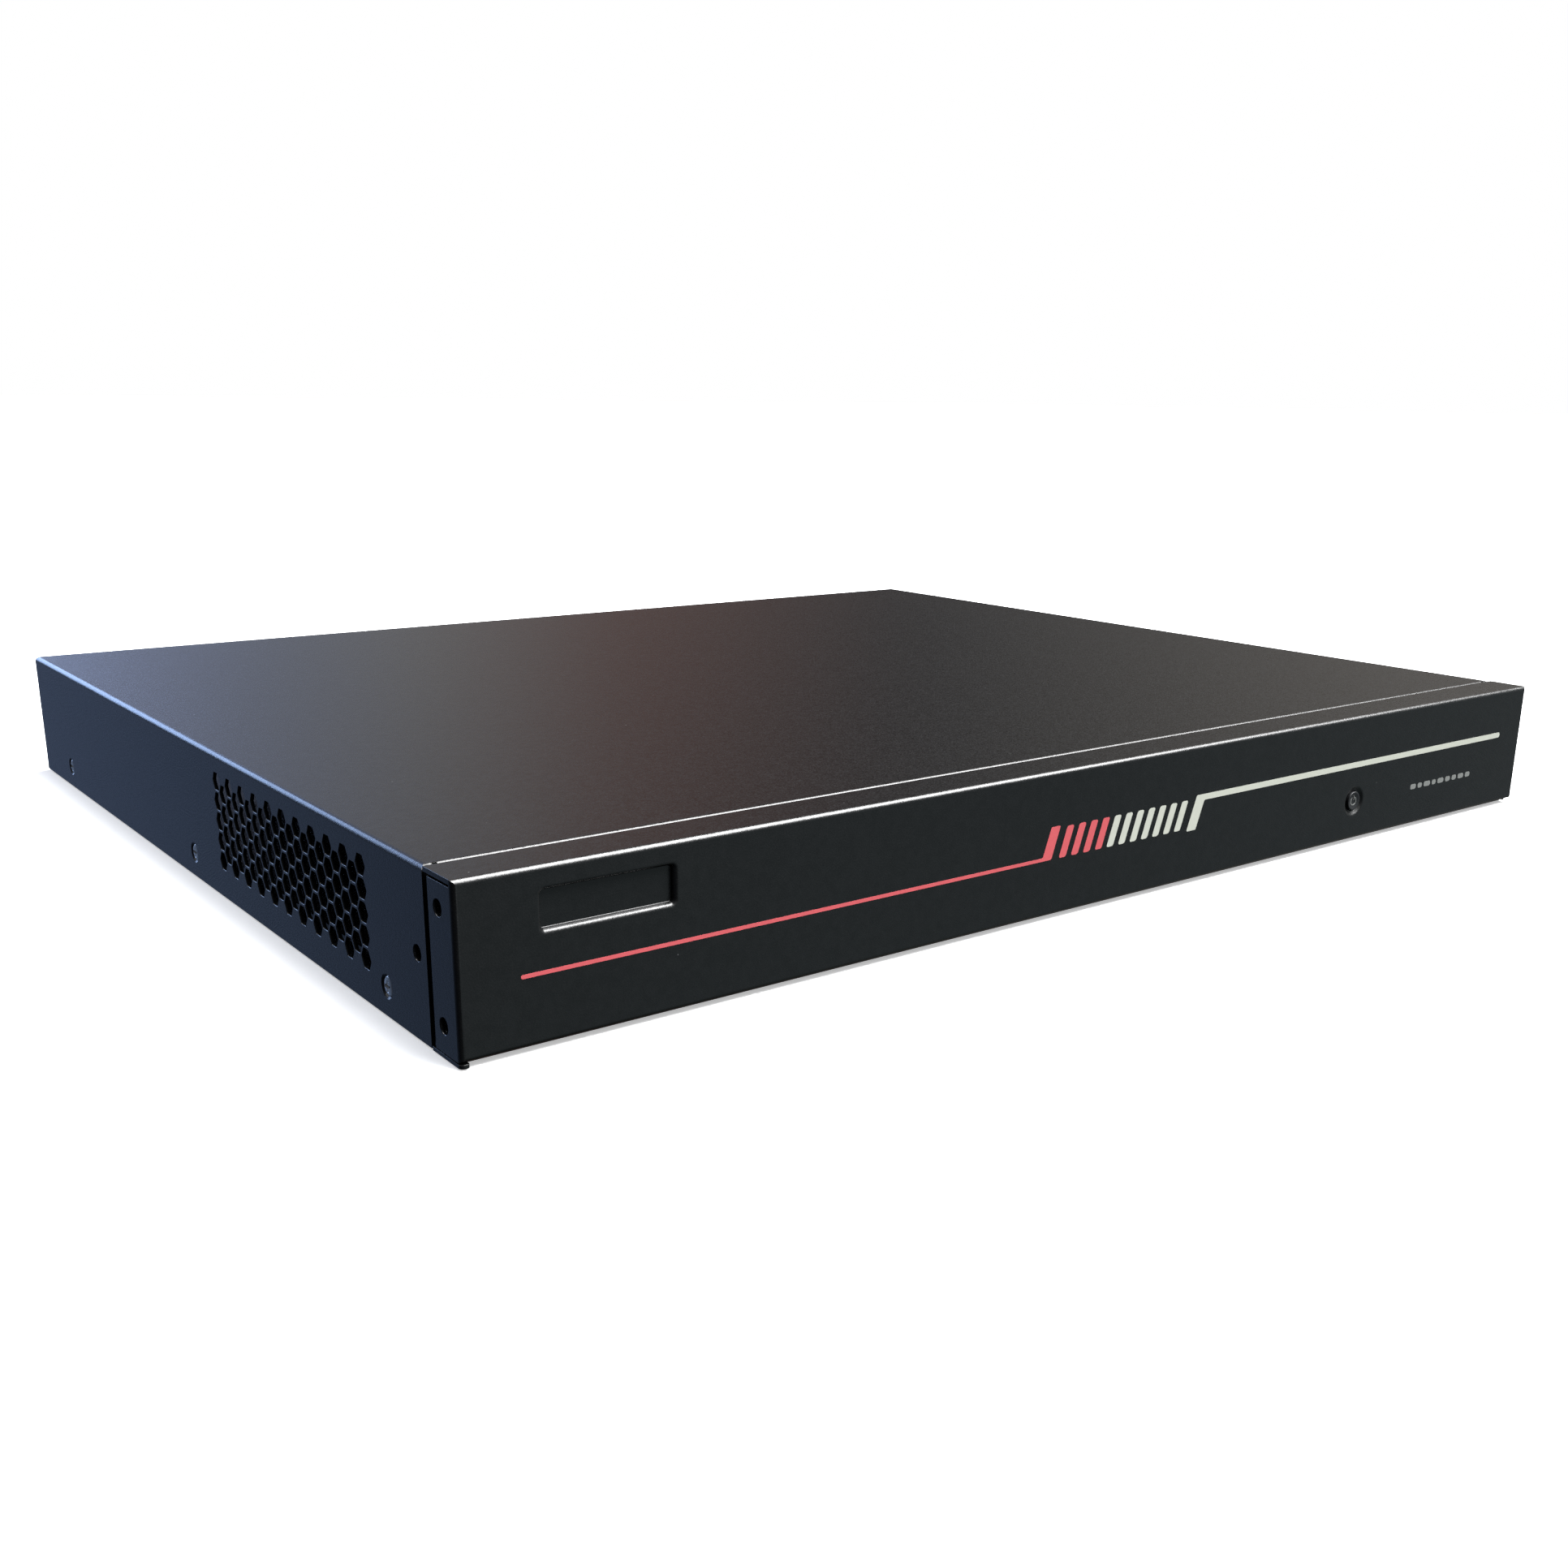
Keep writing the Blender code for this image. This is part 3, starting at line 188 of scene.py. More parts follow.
def hexagon(centre, flats, radius=0.0006):
    """A hexagon with round corners, its flats at the top and bottom."""
    points = []
    for i, corner in enumerate(ring_points(centre, (flats - 2 * radius) / math.sqrt(3), 6)):
        points += arc(corner, radius, 60 * i - 30, 60 * i + 30, 3)
    return points


def mesh_object(name, bm, location=(0, 0, 0), rotation=(0, 0, 0)):
    bmesh.ops.recalc_face_normals(bm, faces=bm.faces)
    mesh = bpy.data.meshes.new(name)
    bm.to_mesh(mesh)
    bm.free()
    obj = bpy.data.objects.new(name, mesh)
    obj.location, obj.rotation_euler = location, rotation
    bpy.context.scene.collection.objects.link(obj)
    return obj


def settle(obj):
    """Makes the modifiers' result the object's own mesh."""
    bpy.context.view_layer.update()
    graph = bpy.context.evaluated_depsgraph_get()
    mesh = bpy.data.meshes.new_from_object(obj.evaluated_get(graph))
    obj.modifiers.clear()
    obj.data = mesh


def carve(obj, operation, shapes):
    """Cuts shapes from an object, or joins them to it, one after the other."""
    for bm in shapes:
        other = mesh_object("tool", bm, obj.location, obj.rotation_euler)
        modifier = obj.modifiers.new(operation, "BOOLEAN")
        modifier.operation, modifier.object = operation, other
        settle(obj)
        bpy.data.objects.remove(other)


def soften(obj, width):
    """Rounds the sharp edges a little and keeps flat faces flat in the shading."""
    obj.data.shade_smooth()
    if width:
        bevel = obj.modifiers.new("edges", "BEVEL")
        bevel.width, bevel.segments, bevel.angle_limit = width, 2, math.radians(35)
    normals = obj.modifiers.new("normals", "WEIGHTED_NORMAL")
    normals.weight, normals.keep_sharp = 60, True
    settle(obj)


def piece(name, bm, finish, body, *nodes, joins=(), cuts=(), edge=0.0, sharp=None, **where):
    """A finished piece that rides on a body and stands for CAD nodes."""
    obj = mesh_object(name, bm, **where)
    carve(obj, "UNION", joins)
    carve(obj, "DIFFERENCE", cuts)
    if sharp is None:
        soften(obj, edge)
    else:
        obj.data.shade_smooth()
        obj.data.set_sharp_from_angle(angle=math.radians(sharp))
    obj.data.materials.clear()
    obj.data.materials.append(finish)
    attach(obj, body)
    if nodes:
        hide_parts(*nodes)
    return obj


# ---------------------------------------------------------------- materials
def set_range(ramp, low, high, out_low, out_high):
    """Sets up a Map Range node."""
    names = ("From Min", "From Max", "To Min", "To Max")
    for name, number in zip(names, (low, high, out_low, out_high)):
        ramp.inputs[name].default_value = number


def brighter(colour, factor, lift=0.0):
    """A colour made so much brighter, or darker with a factor below 1."""
    return [min(1.0, channel * factor + lift) for channel in colour]


class Recipe:
    """A Principled material whose patterns follow the object's own coordinates."""

    def __init__(self, name, roughness, metallic=0.0, specular=0.5):
        self.material = bpy.data.materials.new(name)
        self.material.use_nodes = True
        self.nodes, self.links = self.material.node_tree.nodes, self.material.node_tree.links
        self.shader = self.nodes["Principled BSDF"]
        self.shader.inputs["Roughness"].default_value = roughness
        self.shader.inputs["Metallic"].default_value = metallic
        self.shader.inputs["Specular IOR Level"].default_value = specular
        self.place = self.nodes.new("ShaderNodeTexCoord").outputs["Object"]

    def stretched(self, scale):
        """The coordinates stretched, for marks that run one way."""
        mapping = self.nodes.new("ShaderNodeMapping")
        mapping.inputs["Scale"].default_value = scale
        self.links.new(self.place, mapping.inputs["Vector"])
        return mapping.outputs["Vector"]

    def noise(self, scale, detail=2.0, place=None):
        texture = self.nodes.new("ShaderNodeTexNoise")
        texture.inputs["Scale"].default_value = scale
        texture.inputs["Detail"].default_value = detail
        self.links.new(place or self.place, texture.inputs["Vector"])
        return texture.outputs["Fac"]

    def spots(self, scale, radius):
        """1 inside small scattered spots, 0 elsewhere."""
        texture = self.nodes.new("ShaderNodeTexVoronoi")
        texture.inputs["Scale"].default_value = scale
        self.links.new(self.place, texture.inputs["Vector"])
        return self.between(texture.outputs["Distance"], radius, radius * 0.6, 0.0, 1.0)

    def between(self, value, low, high, out_low, out_high):
        """The value moved from one range to another."""
        ramp = self.nodes.new("ShaderNodeMapRange")
        set_range(ramp, low, high, out_low, out_high)
        self.links.new(value, ramp.inputs["Value"])
        return ramp.outputs["Result"]

    def worn_edges(self, reach):
        """1 on sharp edges, 0 on open surface."""
        bevel = self.nodes.new("ShaderNodeBevel")
        bevel.samples = 6
        bevel.inputs["Radius"].default_value = reach
        geometry = self.nodes.new("ShaderNodeNewGeometry")
        dot = self.nodes.new("ShaderNodeVectorMath")
        dot.operation = "DOT_PRODUCT"
        self.links.new(bevel.outputs["Normal"], dot.inputs[0])
        self.links.new(geometry.outputs["True Normal"], dot.inputs[1])
        return self.between(dot.outputs["Value"], 0.98, 0.75, 0.0, 1.0)

    def colour(self, mask, first, second, under=None):
        """A mix of two colours by a mask. under replaces the first with an earlier result."""
        mix = self.nodes.new("ShaderNodeMix")
        mix.data_type = "RGBA"
        mix.inputs["A"].default_value = (*first, 1.0)
        mix.inputs["B"].default_value = (*second, 1.0)
        self.links.new(mask, mix.inputs["Factor"])
        if under:
            self.links.new(under, mix.inputs["A"])
        self.links.new(mix.outputs["Result"], self.shader.inputs["Base Color"])
        return mix.outputs["Result"]

    def wear(self, reach, colour, tone):
        """Rubs the edges of a finished tone to another colour."""
        return self.colour(self.worn_edges(reach), colour, colour, under=tone)

    def roughen(self, mask, low, high):
        self.links.new(self.between(mask, 0.3, 0.7, low, high), self.shader.inputs["Roughness"])

    def bump(self, height, depth, strength=1.0, under=None):
        bump = self.nodes.new("ShaderNodeBump")
        bump.inputs["Strength"].default_value = strength
        bump.inputs["Distance"].default_value = depth
        self.links.new(height, bump.inputs["Height"])
        if under:
            self.links.new(under, bump.inputs["Normal"])
        self.links.new(bump.outputs["Normal"], self.shader.inputs["Normal"])
        return bump.outputs["Normal"]


def powder_coat(name, dark, light, roughness):
    """Black powder coat: orange peel with a fine grain, a mottled tone and a few specks of dust."""
    made = Recipe(name, roughness, specular=0.75)
    mottle = made.noise(420, 3.0)
    tone = made.colour(made.between(mottle, 0.35, 0.65, 0.0, 1.0), dark, light)
    worn = made.wear(0.0004, (0.020, 0.020, 0.021), tone)
    dust = made.spots(70, 0.016)
    made.colour(made.between(dust, 0.0, 1.0, 0.0, 0.30), dark, (0.30, 0.30, 0.31), under=worn)
    grain = made.noise(2400, 3.0)
    made.roughen(grain, roughness - 0.08, roughness + 0.09)
    peel = made.bump(made.noise(800, 2.0), 0.00004, 0.6)
    made.bump(grain, 0.00004, 0.8, under=peel)
    return made.material


def plated(name, colour, roughness):
    """Bright plating with fine turned marks and a slightly uneven tone."""
    made = Recipe(name, roughness, metallic=1.0)
    stains = made.noise(600, 4.0)
    tone = made.colour(stains, brighter(colour, 0.78), brighter(colour, 1.15))
    made.wear(0.0002, brighter(colour, 1.25), tone)
    made.roughen(stains, roughness - 0.08, roughness + 0.12)
    made.bump(made.noise(3000, 2.0), 0.00001, 0.5)
    return made.material


def brushed(name, colour, roughness):
    """Milled metal with marks along X."""
    made = Recipe(name, roughness, metallic=1.0)
    marks = made.noise(1.0, 3.0, made.stretched((150, 6000, 6000)))
    tone = made.colour(marks, brighter(colour, 0.8), brighter(colour, 1.1))
    made.wear(0.0003, brighter(colour, 1.3), tone)
    made.roughen(marks, roughness - 0.06, roughness + 0.12)
    made.bump(marks, 0.00001, 0.5)
    return made.material


def moulded(name, colour, roughness, grain=4000):
    """Moulded plastic with a fine spark-eroded grain."""
    made = Recipe(name, roughness)
    tone = made.colour(made.noise(250, 2.0), brighter(colour, 0.85), brighter(colour, 1.2))
    made.wear(0.0002, brighter(colour, 1.6, 0.004), tone)
    texture = made.noise(grain, 2.0)
    made.roughen(texture, roughness - 0.06, roughness + 0.08)
    made.bump(texture, 0.00002, 0.5)
    return made.material


def circuit_board():
    """Green solder mask over a maze of copper tracks."""
    made = Recipe("circuit board", 0.42)
    tracks = made.nodes.new("ShaderNodeTexBrick")
    layout = {"Scale": 320.0, "Mortar Size": 0.03, "Brick Width": 1.9, "Row Height": 0.32}
    for name, number in layout.items():
        tracks.inputs[name].default_value = number
    made.links.new(made.place, tracks.inputs["Vector"])
    tone = made.colour(tracks.outputs["Fac"], (0.010, 0.075, 0.038), (0.022, 0.135, 0.068))
    pads = made.spots(430, 0.20)
    padded = made.colour(pads, (0.01, 0.07, 0.04), (0.42, 0.42, 0.36), under=tone)
    made.wear(0.0003, (0.10, 0.14, 0.07), padded)
    made.roughen(made.noise(900, 2.0), 0.34, 0.50)
    made.bump(tracks.outputs["Fac"], 0.00003, 0.5)
    return made.material


def ink(name, colour, roughness):
    """Screen-printed ink: even, a little uneven in gloss."""
    made = Recipe(name, roughness)
    tone = made.colour(made.noise(900, 3.0), brighter(colour, 0.93), brighter(colour, 1.05))
    made.wear(0.00008, brighter(colour, 0.8), tone)
    made.roughen(made.noise(2500, 2.0), roughness - 0.06, roughness + 0.06)
    made.bump(made.noise(2600, 2.0), 0.00001, 0.4)
    return made.material


CASING = powder_coat("powder coat", (0.0024, 0.0027, 0.0030), (0.0042, 0.0046, 0.0050), 0.30)
ZINC = plated("bright zinc", (0.80, 0.80, 0.79), 0.26)
SHELL = plated("socket shell", (0.52, 0.52, 0.51), 0.36)
BRASS = plated("brass", (0.72, 0.53, 0.25), 0.30)
GOLD = plated("gold contacts", (0.90, 0.62, 0.22), 0.22)
ALUMINIUM = brushed("aluminium", (0.62, 0.63, 0.64), 0.38)
BLACK_PLASTIC = moulded("black plastic", (0.016, 0.017, 0.019), 0.42)
SLEEVE = moulded("capacitor sleeve", (0.012, 0.012, 0.014), 0.25, 900)
BOARD = circuit_board()
CHIP = moulded("chip package", (0.022, 0.022, 0.024), 0.50, 6000)
TAPE = moulded("winding tape", (0.66, 0.46, 0.07), 0.35, 700)
NYLON = moulded("nylon", (0.68, 0.68, 0.62), 0.45, 1500)
BLACK_JACKET = moulded("black jacket", (0.014, 0.014, 0.015), 0.48, 1800)
GREY_JACKET = moulded("grey jacket", (0.28, 0.28, 0.29), 0.48, 1800)
LAMP = moulded("lamp window", (0.10, 0.30, 0.12), 0.20, 800)
RED_INK = ink("red ink", (0.70, 0.120, 0.135), 0.45)
WHITE_INK = ink("white ink", (0.62, 0.64, 0.56), 0.45)
GREY_INK = ink("grey ink", (0.24, 0.25, 0.24), 0.50)

FINISHES = {
    "casing": CASING,
    "bright_zinc": ZINC,
    "port_shell": SHELL,
    "brass": BRASS,
    "aluminium": ALUMINIUM,
    "black_plastic": BLACK_PLASTIC,
    "capacitor_sleeve": SLEEVE,
    "circuit_board": BOARD,
    "chip_package": CHIP,
    "transformer_tape": TAPE,
    "white_nylon": NYLON,
    "black_lead": BLACK_JACKET,
    "grey_lead": GREY_JACKET,
}


def dress_cad_nodes():
    """Gives every CAD node the finish of its slot in the record."""
    for entry in frame["record"]["subparts"]:
        node = frame["nodes"][entry["node"]]
        for slot in node.material_slots:
            slot.material = FINISHES[entry["material_slot"]]


# ---------------------------------------------------------------- casing
def stamped(outline_at, depth, lip, foot, wall):
    """A cutter for a stamped hollow: a round lip, a wall at so many degrees and a round foot.

    outline_at(inset) gives its outline so far inside the edge of the lip.
    """
    turns = [math.radians(wall * i / 8) for i in range(9)]
    steepest = turns[-1]
    steps = [(lip * math.sin(a), lip * (1 - math.cos(a))) for a in turns]
    drop = depth - (lip + foot) * (1 - math.cos(steepest))
    foot_start = steps[-1][0] + drop / math.tan(steepest)
    for a in reversed(turns):
        inset = foot_start + foot * (math.sin(steepest) - math.sin(a))
        steps.append((inset, depth - foot * (1 - math.cos(a))))
    outlines = [outline_at(-0.0006), *[outline_at(inset) for inset, down in steps]]
    return loft(outlines, "Y", [FRONT - 0.001, *[FRONT + down for inset, down in steps]])


def recess_outline(inset):
    x = (RECESS_X[0] + inset, RECESS_X[1] - inset)
    z = (RECESS_Z[0] + inset, RECESS_Z[1] - inset)
    return rounded_rectangle(x, z, 0.0020 - inset * 0.8)


def dimple_outline(inset):
    return ring_points((BUTTON_X, BUTTON_Z), DIMPLE_RADIUS - inset, 64)


def front_sheet():
    """The front panel: a pan folded back on all four sides."""
    low, high = Vector(PANEL_LOW), Vector(PANEL_HIGH)
    shell = box(low, high)
    edges = [e for e in shell.edges if all(abs(v.co.y - FRONT) < 1e-6 for v in e.verts)]
    bmesh.ops.bevel(shell, geom=edges, offset=PANEL_BEND, segments=8, profile=0.5, affect="EDGES")
    thick, beyond, below_top = PANEL_SHEET, high.y + 0.001, TOP - PANEL_SHEET
    hollow_low = (low.x + thick, FRONT + PANEL_FACE, low.z + thick)
    hollow = box(hollow_low, (high.x - thick, beyond, high.z - thick))
    flanges = box((-SIDE - 0.001, SIDE_FLANGE_END, low.z - 0.001), (SIDE + 0.001, beyond, below_top))
    slits, holes = bmesh.new(), bmesh.new()
    for side in (-1, 1):
        slit = sorted((side * (SIDE - thick - 0.0002), side * (SIDE + 0.001)))
        box((slit[0], FRONT + PANEL_BEND, below_top - SLIT), (slit[1], beyond, below_top), slits)
        for y, z in EAR_HOLES_PANEL:
            eased(side, lambda growth: ring_points((y, z), EAR_HOLE_RADIUS + growth, 40), holes)
    recess = stamped(recess_outline, RECESS_DEPTH, RECESS_LIP, RECESS_FOOT, RECESS_WALL)
    dimple = stamped(dimple_outline, DIMPLE_DEPTH, DIMPLE_LIP, DIMPLE_FOOT, DIMPLE_WALL)
    bore = rod("Y", (BUTTON_X, BUTTON_Z), CAP_RADIUS + 0.0003, FRONT - 0.001, FRONT + 0.005, 64)
    cuts = [hollow, flanges, slits, holes, recess, dimple, bore]
    piece("front_sheet", shell, CASING, "chassis", "front_panel", cuts=cuts, edge=0.00015)


def eased(side, outline_at, bm):
    """Cuts through one side sheet, a little wider at the outer face. outline_at(growth) gives the outline."""
    growths = (2 * HOLE_LIP, HOLE_LIP, HOLE_LIP * 0.4, 0.0, 0.0)
    depths = (-HOLE_LIP, 0.0, HOLE_LIP * 0.4, HOLE_LIP * 1.2, 0.003)
    loft([outline_at(growth) for growth in growths], "X", [side * (SIDE - depth) for depth in depths], bm)


def vent_centres():
    step = VENT_PITCH * math.sqrt(3) / 2
    centres = []
    for column in range(2 * VENT_LONG_COLUMNS - 1):
        short = column % 2
        for row in range(VENT_ROWS - short):
            centres.append((VENT_START_Y + column * step, VENT_TOP_Z - (row + short / 2) * VENT_PITCH))
    return centres


def screw_places(side):
    """The (y, z) of each cover screw in one side."""
    boxes = [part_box(f"cover_screw_{side}_{number}") for number in (1, 2, 3)]
    return [((low[1] + high[1]) / 2, (low[2] + high[2]) / 2) for low, high in boxes]


def cover_sheet():
    """The cover: a channel over the top and sides, with its front edge folded down."""
    foot, start, end = COVER_LOW[2], COVER_FRONT, COVER_HIGH[1]
    centre = (SIDE - COVER_BEND, TOP - COVER_BEND)
    outside = [(SIDE, foot), *arc(centre, COVER_BEND, 0, 90, 8)]
    inside = [(SIDE - SHEET, foot), *arc(centre, COVER_BEND - SHEET, 0, 90, 8)]
    across = outside + [(-x, z) for x, z in reversed(outside)]
    back = [(-x, z) for x, z in inside] + list(reversed(inside))
    channel = prism(across + back, "Y", start, end)
    lip = box((-FOLD_END, start, TOP - FOLD_DROP), (FOLD_END, start + SHEET, TOP - SHEET / 2))
    turn = (start + FOLD_BEND, TOP - FOLD_BEND)
    rounding = [(start - 0.001, TOP + 0.001), (start - 0.001, TOP - FOLD_BEND)]
    rounding += [*arc(turn, FOLD_BEND, 180, 90, 8), (start + FOLD_BEND, TOP + 0.001)]
    vents, notches, sinks = bmesh.new(), bmesh.new(), bmesh.new()
    for side, name in ((-1, "left"), (1, "right")):
        notch = sorted((side * FOLD_END, side * (FOLD_END + FOLD_NOTCH)))
        notch_low = (notch[0], start - 0.001, TOP - FOLD_DROP - 0.001)
        box(notch_low, (notch[1], start + SHEET + 0.0001, TOP + 0.001), notches)
        for centre_at in vent_centres():
            eased(side, lambda growth: hexagon(centre_at, VENT_FLATS + growth), vents)
        eased(side, lambda growth: ring_points(EAR_HOLE_COVER, EAR_HOLE_RADIUS + growth, 40), vents)
        for at in screw_places(name):
            rings = [ring_points(at, radius, 48) for radius in (0.0034, 0.0032, 0.0018, 0.0018)]
            inward = [side * (SIDE - depth) for depth in (-0.0005, 0.0, 0.0014, 0.002)]
            loft(rings, "X", inward, sinks)
    cuts = [prism(rounding, "X", -SIDE - 0.001, SIDE + 0.001), notches, vents, sinks]
    piece("cover_sheet", channel, CASING, "chassis", "top_cover", joins=[lip], cuts=cuts, edge=0.00012)


def tray_sheet():
    """The base tray, whose left front corner shows under the front panel as a rounded tab."""
    low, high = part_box("base_tray")
    tab, neck = 0.0024, COVER_FRONT - 0.0005
    floor_front = FRONT + 0.0035
    outline = [
        (-SIDE + tab, floor_front),
        (-SIDE + tab, FRONT + 0.0008),
        *arc((-SIDE + tab - 0.0007, FRONT + 0.0008), 0.0007, 0, -90, 4)[1:],
        *arc((-SIDE + 0.0012, FRONT + 0.0013), 0.0012, 270, 180, 6),
        (-SIDE, neck),
        (-UPSTAND, neck),
        (-UPSTAND, high[1]),
        (UPSTAND, high[1]),
        (UPSTAND, neck),
        (SIDE, neck),
        *arc((SIDE - 0.0010, floor_front + 0.0010), 0.0010, 0, -90, 4),
    ]
    floor = prism(outline, "Z", 0, SHEET)
    profile = [
        (FRONT + 0.0018, SHEET / 2),
        (FRONT + 0.0018, POST_TOP),
        (COVER_FRONT + POST_DEPTH, POST_TOP),
        (COVER_FRONT + POST_DEPTH, UPSTAND_TOP),
        (high[1] - 0.012, UPSTAND_TOP),
        (high[1] - 0.012, SHEET / 2),
    ]
    sides, holes = bmesh.new(), bmesh.new()
    for side in (-1, 1):
        prism(profile, "X", side * (UPSTAND - SHEET), side * UPSTAND, sides)
        through = (side * (UPSTAND - 0.004), side * (UPSTAND + 0.004))
        for at in [*EAR_HOLES_PANEL, EAR_HOLE_COVER]:
            rod("X", at, TAPPED_RADIUS, *through, 32, holes)
        for at in screw_places("left" if side < 0 else "right"):
            rod("X", at, 0.0018, *through, 32, holes)
    piece("tray_sheet", floor, CASING, "chassis", "base_tray", joins=[sides], cuts=[holes], edge=0.0003)


# ---------------------------------------------------------------- screws
def cross(reach, thick, start, end):
    """A cross-shaped driver recess that narrows with depth."""
    a, b = thick / 2, reach
    outline = [(a, a), (a, b), (-a, b), (-a, a), (-b, a), (-b, -a)]
    outline += [(-x, -z) for x, z in outline]
    deep = [(x * 0.45, z * 0.45) for x, z in outline]
    return loft([outline, outline, deep], "Z", (start, (start * 2 + end) / 3, end))


def countersunk(side, at, name):
    """A flat-headed cover screw, slightly domed. Its head lies just below the cover's face."""
    head, sunk = 0.0029, 0.00005
    dome = [(0, sunk), (0.0012, sunk + 0.00003), (0.0018, sunk + 0.00010), (0.0022, sunk + 0.00022)]
    profile = [*dome, (0.0025, sunk + 0.00042), (0.0027, sunk + 0.00066), (head, sunk + 0.0011)]
    profile += [(0.00145, sunk + 0.0018), (0.00145, 0.006), (0, 0.006)]
    where = {"location": (side * SIDE, *at), "rotation": (0, -side * math.pi / 2, 0)}
    recess = cross(0.0016, 0.0009, sunk - 0.0006, sunk + 0.0013)
    piece(f"{name}_metal", turned(profile), ZINC, "chassis", name, cuts=[recess], sharp=28, **where)


def pan_headed(name, finish):
    """A domed screw in the rear panel, its head to the rear."""
    low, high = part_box(name)
    radius, tall = (high[0] - low[0]) / 2, 0.0018
    face = high[1] - tall
    turns = (0.4, 0.7, 0.95, 1.2, 1.4)
    dome = [(0, -tall), *[(radius * math.sin(a), -tall * math.cos(a) ** 0.8) for a in turns]]
    shank = [(0.0015, 0), (0.0015, face - low[1]), (0, face - low[1])]
    profile = [*dome, (radius, -0.0002), (radius, 0), *shank]
    centre = ((low[0] + high[0]) / 2, face, (low[2] + high[2]) / 2)
    recess = cross(radius * 0.55, 0.0008, -tall - 0.0006, -0.0006)
    where = {"location": centre, "rotation": (math.pi / 2, 0, 0)}
    piece(f"{name}_metal", turned(profile), finish, "chassis", name, cuts=[recess], sharp=28, **where)


def screws():
    for side, label in ((-1, "left"), (1, "right")):
        for number, at in enumerate(screw_places(label), 1):
            countersunk(side, at, f"cover_screw_{label}_{number}")
    for number in (1, 2, 3):
        pan_headed(f"rear_screw_{number}", ZINC)
    for number in (1, 2):
        pan_headed(f"fan_screw_{number}_upper", ZINC)
        pan_headed(f"fan_screw_{number}_lower", ZINC)
    pan_headed("ground_screw", BRASS)


# ---------------------------------------------------------------- button
def power_button():
    """The dished cap, with the usual open ring and bar on it."""
    low, high = CAP_LOW, CAP_HIGH
    collar = 0.0024
    dish = [(0, 0.00045), (0.0012, 0.0004), (0.0021, 0.00022), (0.0026, 0.00006), (0.0029, 0.0)]
    rim = [(0.00308, 0.00004), (0.00317, 0.00014), (CAP_RADIUS, 0.0003), (CAP_RADIUS, collar)]
    back = [(0.0042, collar), (0.0042, collar + 0.0012), (0.0018, collar + 0.0012)]
    back += [(0.0018, high[1] - low[1]), (0, high[1] - low[1])]
    where = {"location": (BUTTON_X, FRONT, BUTTON_Z), "rotation": (-math.pi / 2, 0, 0)}
    cap = turned(dish + rim + back, 96)
    piece("button_cap", cap, BLACK_PLASTIC, "button", "power_button", sharp=40, **where)
    centre = (BUTTON_X, BUTTON_Z)
    open_ring = arc(centre, 0.00155, 125, 415, 28) + arc(centre, 0.00125, 415, 125, 28)
    symbol = prism(open_ring, "Y", FRONT + 0.00025, FRONT + 0.0008)
    bar = (BUTTON_X - 0.00015, BUTTON_X + 0.00015), (BUTTON_Z + 0.0004, BUTTON_Z + 0.0018)
    prism(rounded_rectangle(*bar, 0.0001, 3), "Y", FRONT + 0.00015, FRONT + 0.0008, symbol)
    piece("button_symbol", symbol, GREY_INK, "button", sharp=30)


# ---------------------------------------------------------------- sockets
def contact_profile(mouth, back, wall, lift):
    """A sprung contact in (y, z), which rises from a socket's wall towards its back."""
    return [
        (mouth - 0.0020, wall - lift * 0.0002),
        (mouth - 0.0020, wall + lift * 0.0003),
        (back + 0.0030, wall + lift * CONTACT_RISE),
        (back - 0.0002, wall + lift * CONTACT_RISE),
        (back - 0.0002, wall - lift * 0.0002),
    ]


def jack_contacts():
    """Eight contacts in each 8-way socket, on the wall away from its latch, and two lamp windows."""
    contacts, lamps = bmesh.new(), bmesh.new()
    for opening in frame["record"]["physics"]["openings"]:
        if "8-way" not in opening["holds"]:
            continue
        low, high = opening["box_m"]
        centre, middle = (low[0] + high[0]) / 2, (low[2] + high[2]) / 2
        wall, lift = (high[2], -1) if opening["name"].endswith("lower") else (low[2], 1)
        profile = contact_profile(high[1], low[1], wall, lift)
        for number in range(CONTACTS):
            x = centre + (number - (CONTACTS - 1) / 2) * CONTACT_PITCH
            prism(profile, "X", x - CONTACT_WIDTH / 2, x + CONTACT_WIDTH / 2, contacts)
        block = "lan_ports" if opening["name"].startswith("lan") else "console_ports"
        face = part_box(block)[1][1]
        half_w, half_h = LAMP_SIZE[0] / 2, LAMP_SIZE[1] / 2
        for side in (-1, 1):
            x, z = centre + side * LAMP_OFFSET, middle + lift * LAMP_OFFSET
            outline = rounded_rectangle((x - half_w, x + half_w), (z - half_h, z + half_h), 0.0002, 2)
            prism(outline, "Y", face - 0.0006, face + 0.0001, lamps)
    piece("jack_contacts", contacts, GOLD, "chassis", sharp=30)
    piece("jack_lamps", lamps, LAMP, "chassis", sharp=30)


def rocker_marks():
    """The usual bar and ring on the two halves of the mains switch, which rests tilted about its pivot."""
    pivot = next(joint["pos_m"] for joint in frame["joints"] if joint["name"] == "rocker_tilt")
    face, proud, reach, size, tilt = 0.0041, 0.0044, 0.0042, 0.0013, math.radians(10)
    bar = rounded_rectangle((-0.0002, 0.0002), (reach - size, reach + size), 0.00015, 3)
    marks = prism(bar, "Y", face, proud)
    outer, inner = ring_points((0, -reach), size, 32), ring_points((0, -reach), size - 0.00035, 32)
    ring = [*outer, outer[0], inner[0], *reversed(inner)]
    prism(ring, "Y", face, proud, marks)
    piece("rocker_marks", marks, WHITE_INK, "rocker", sharp=30, location=pivot, rotation=(tilt, 0, 0))


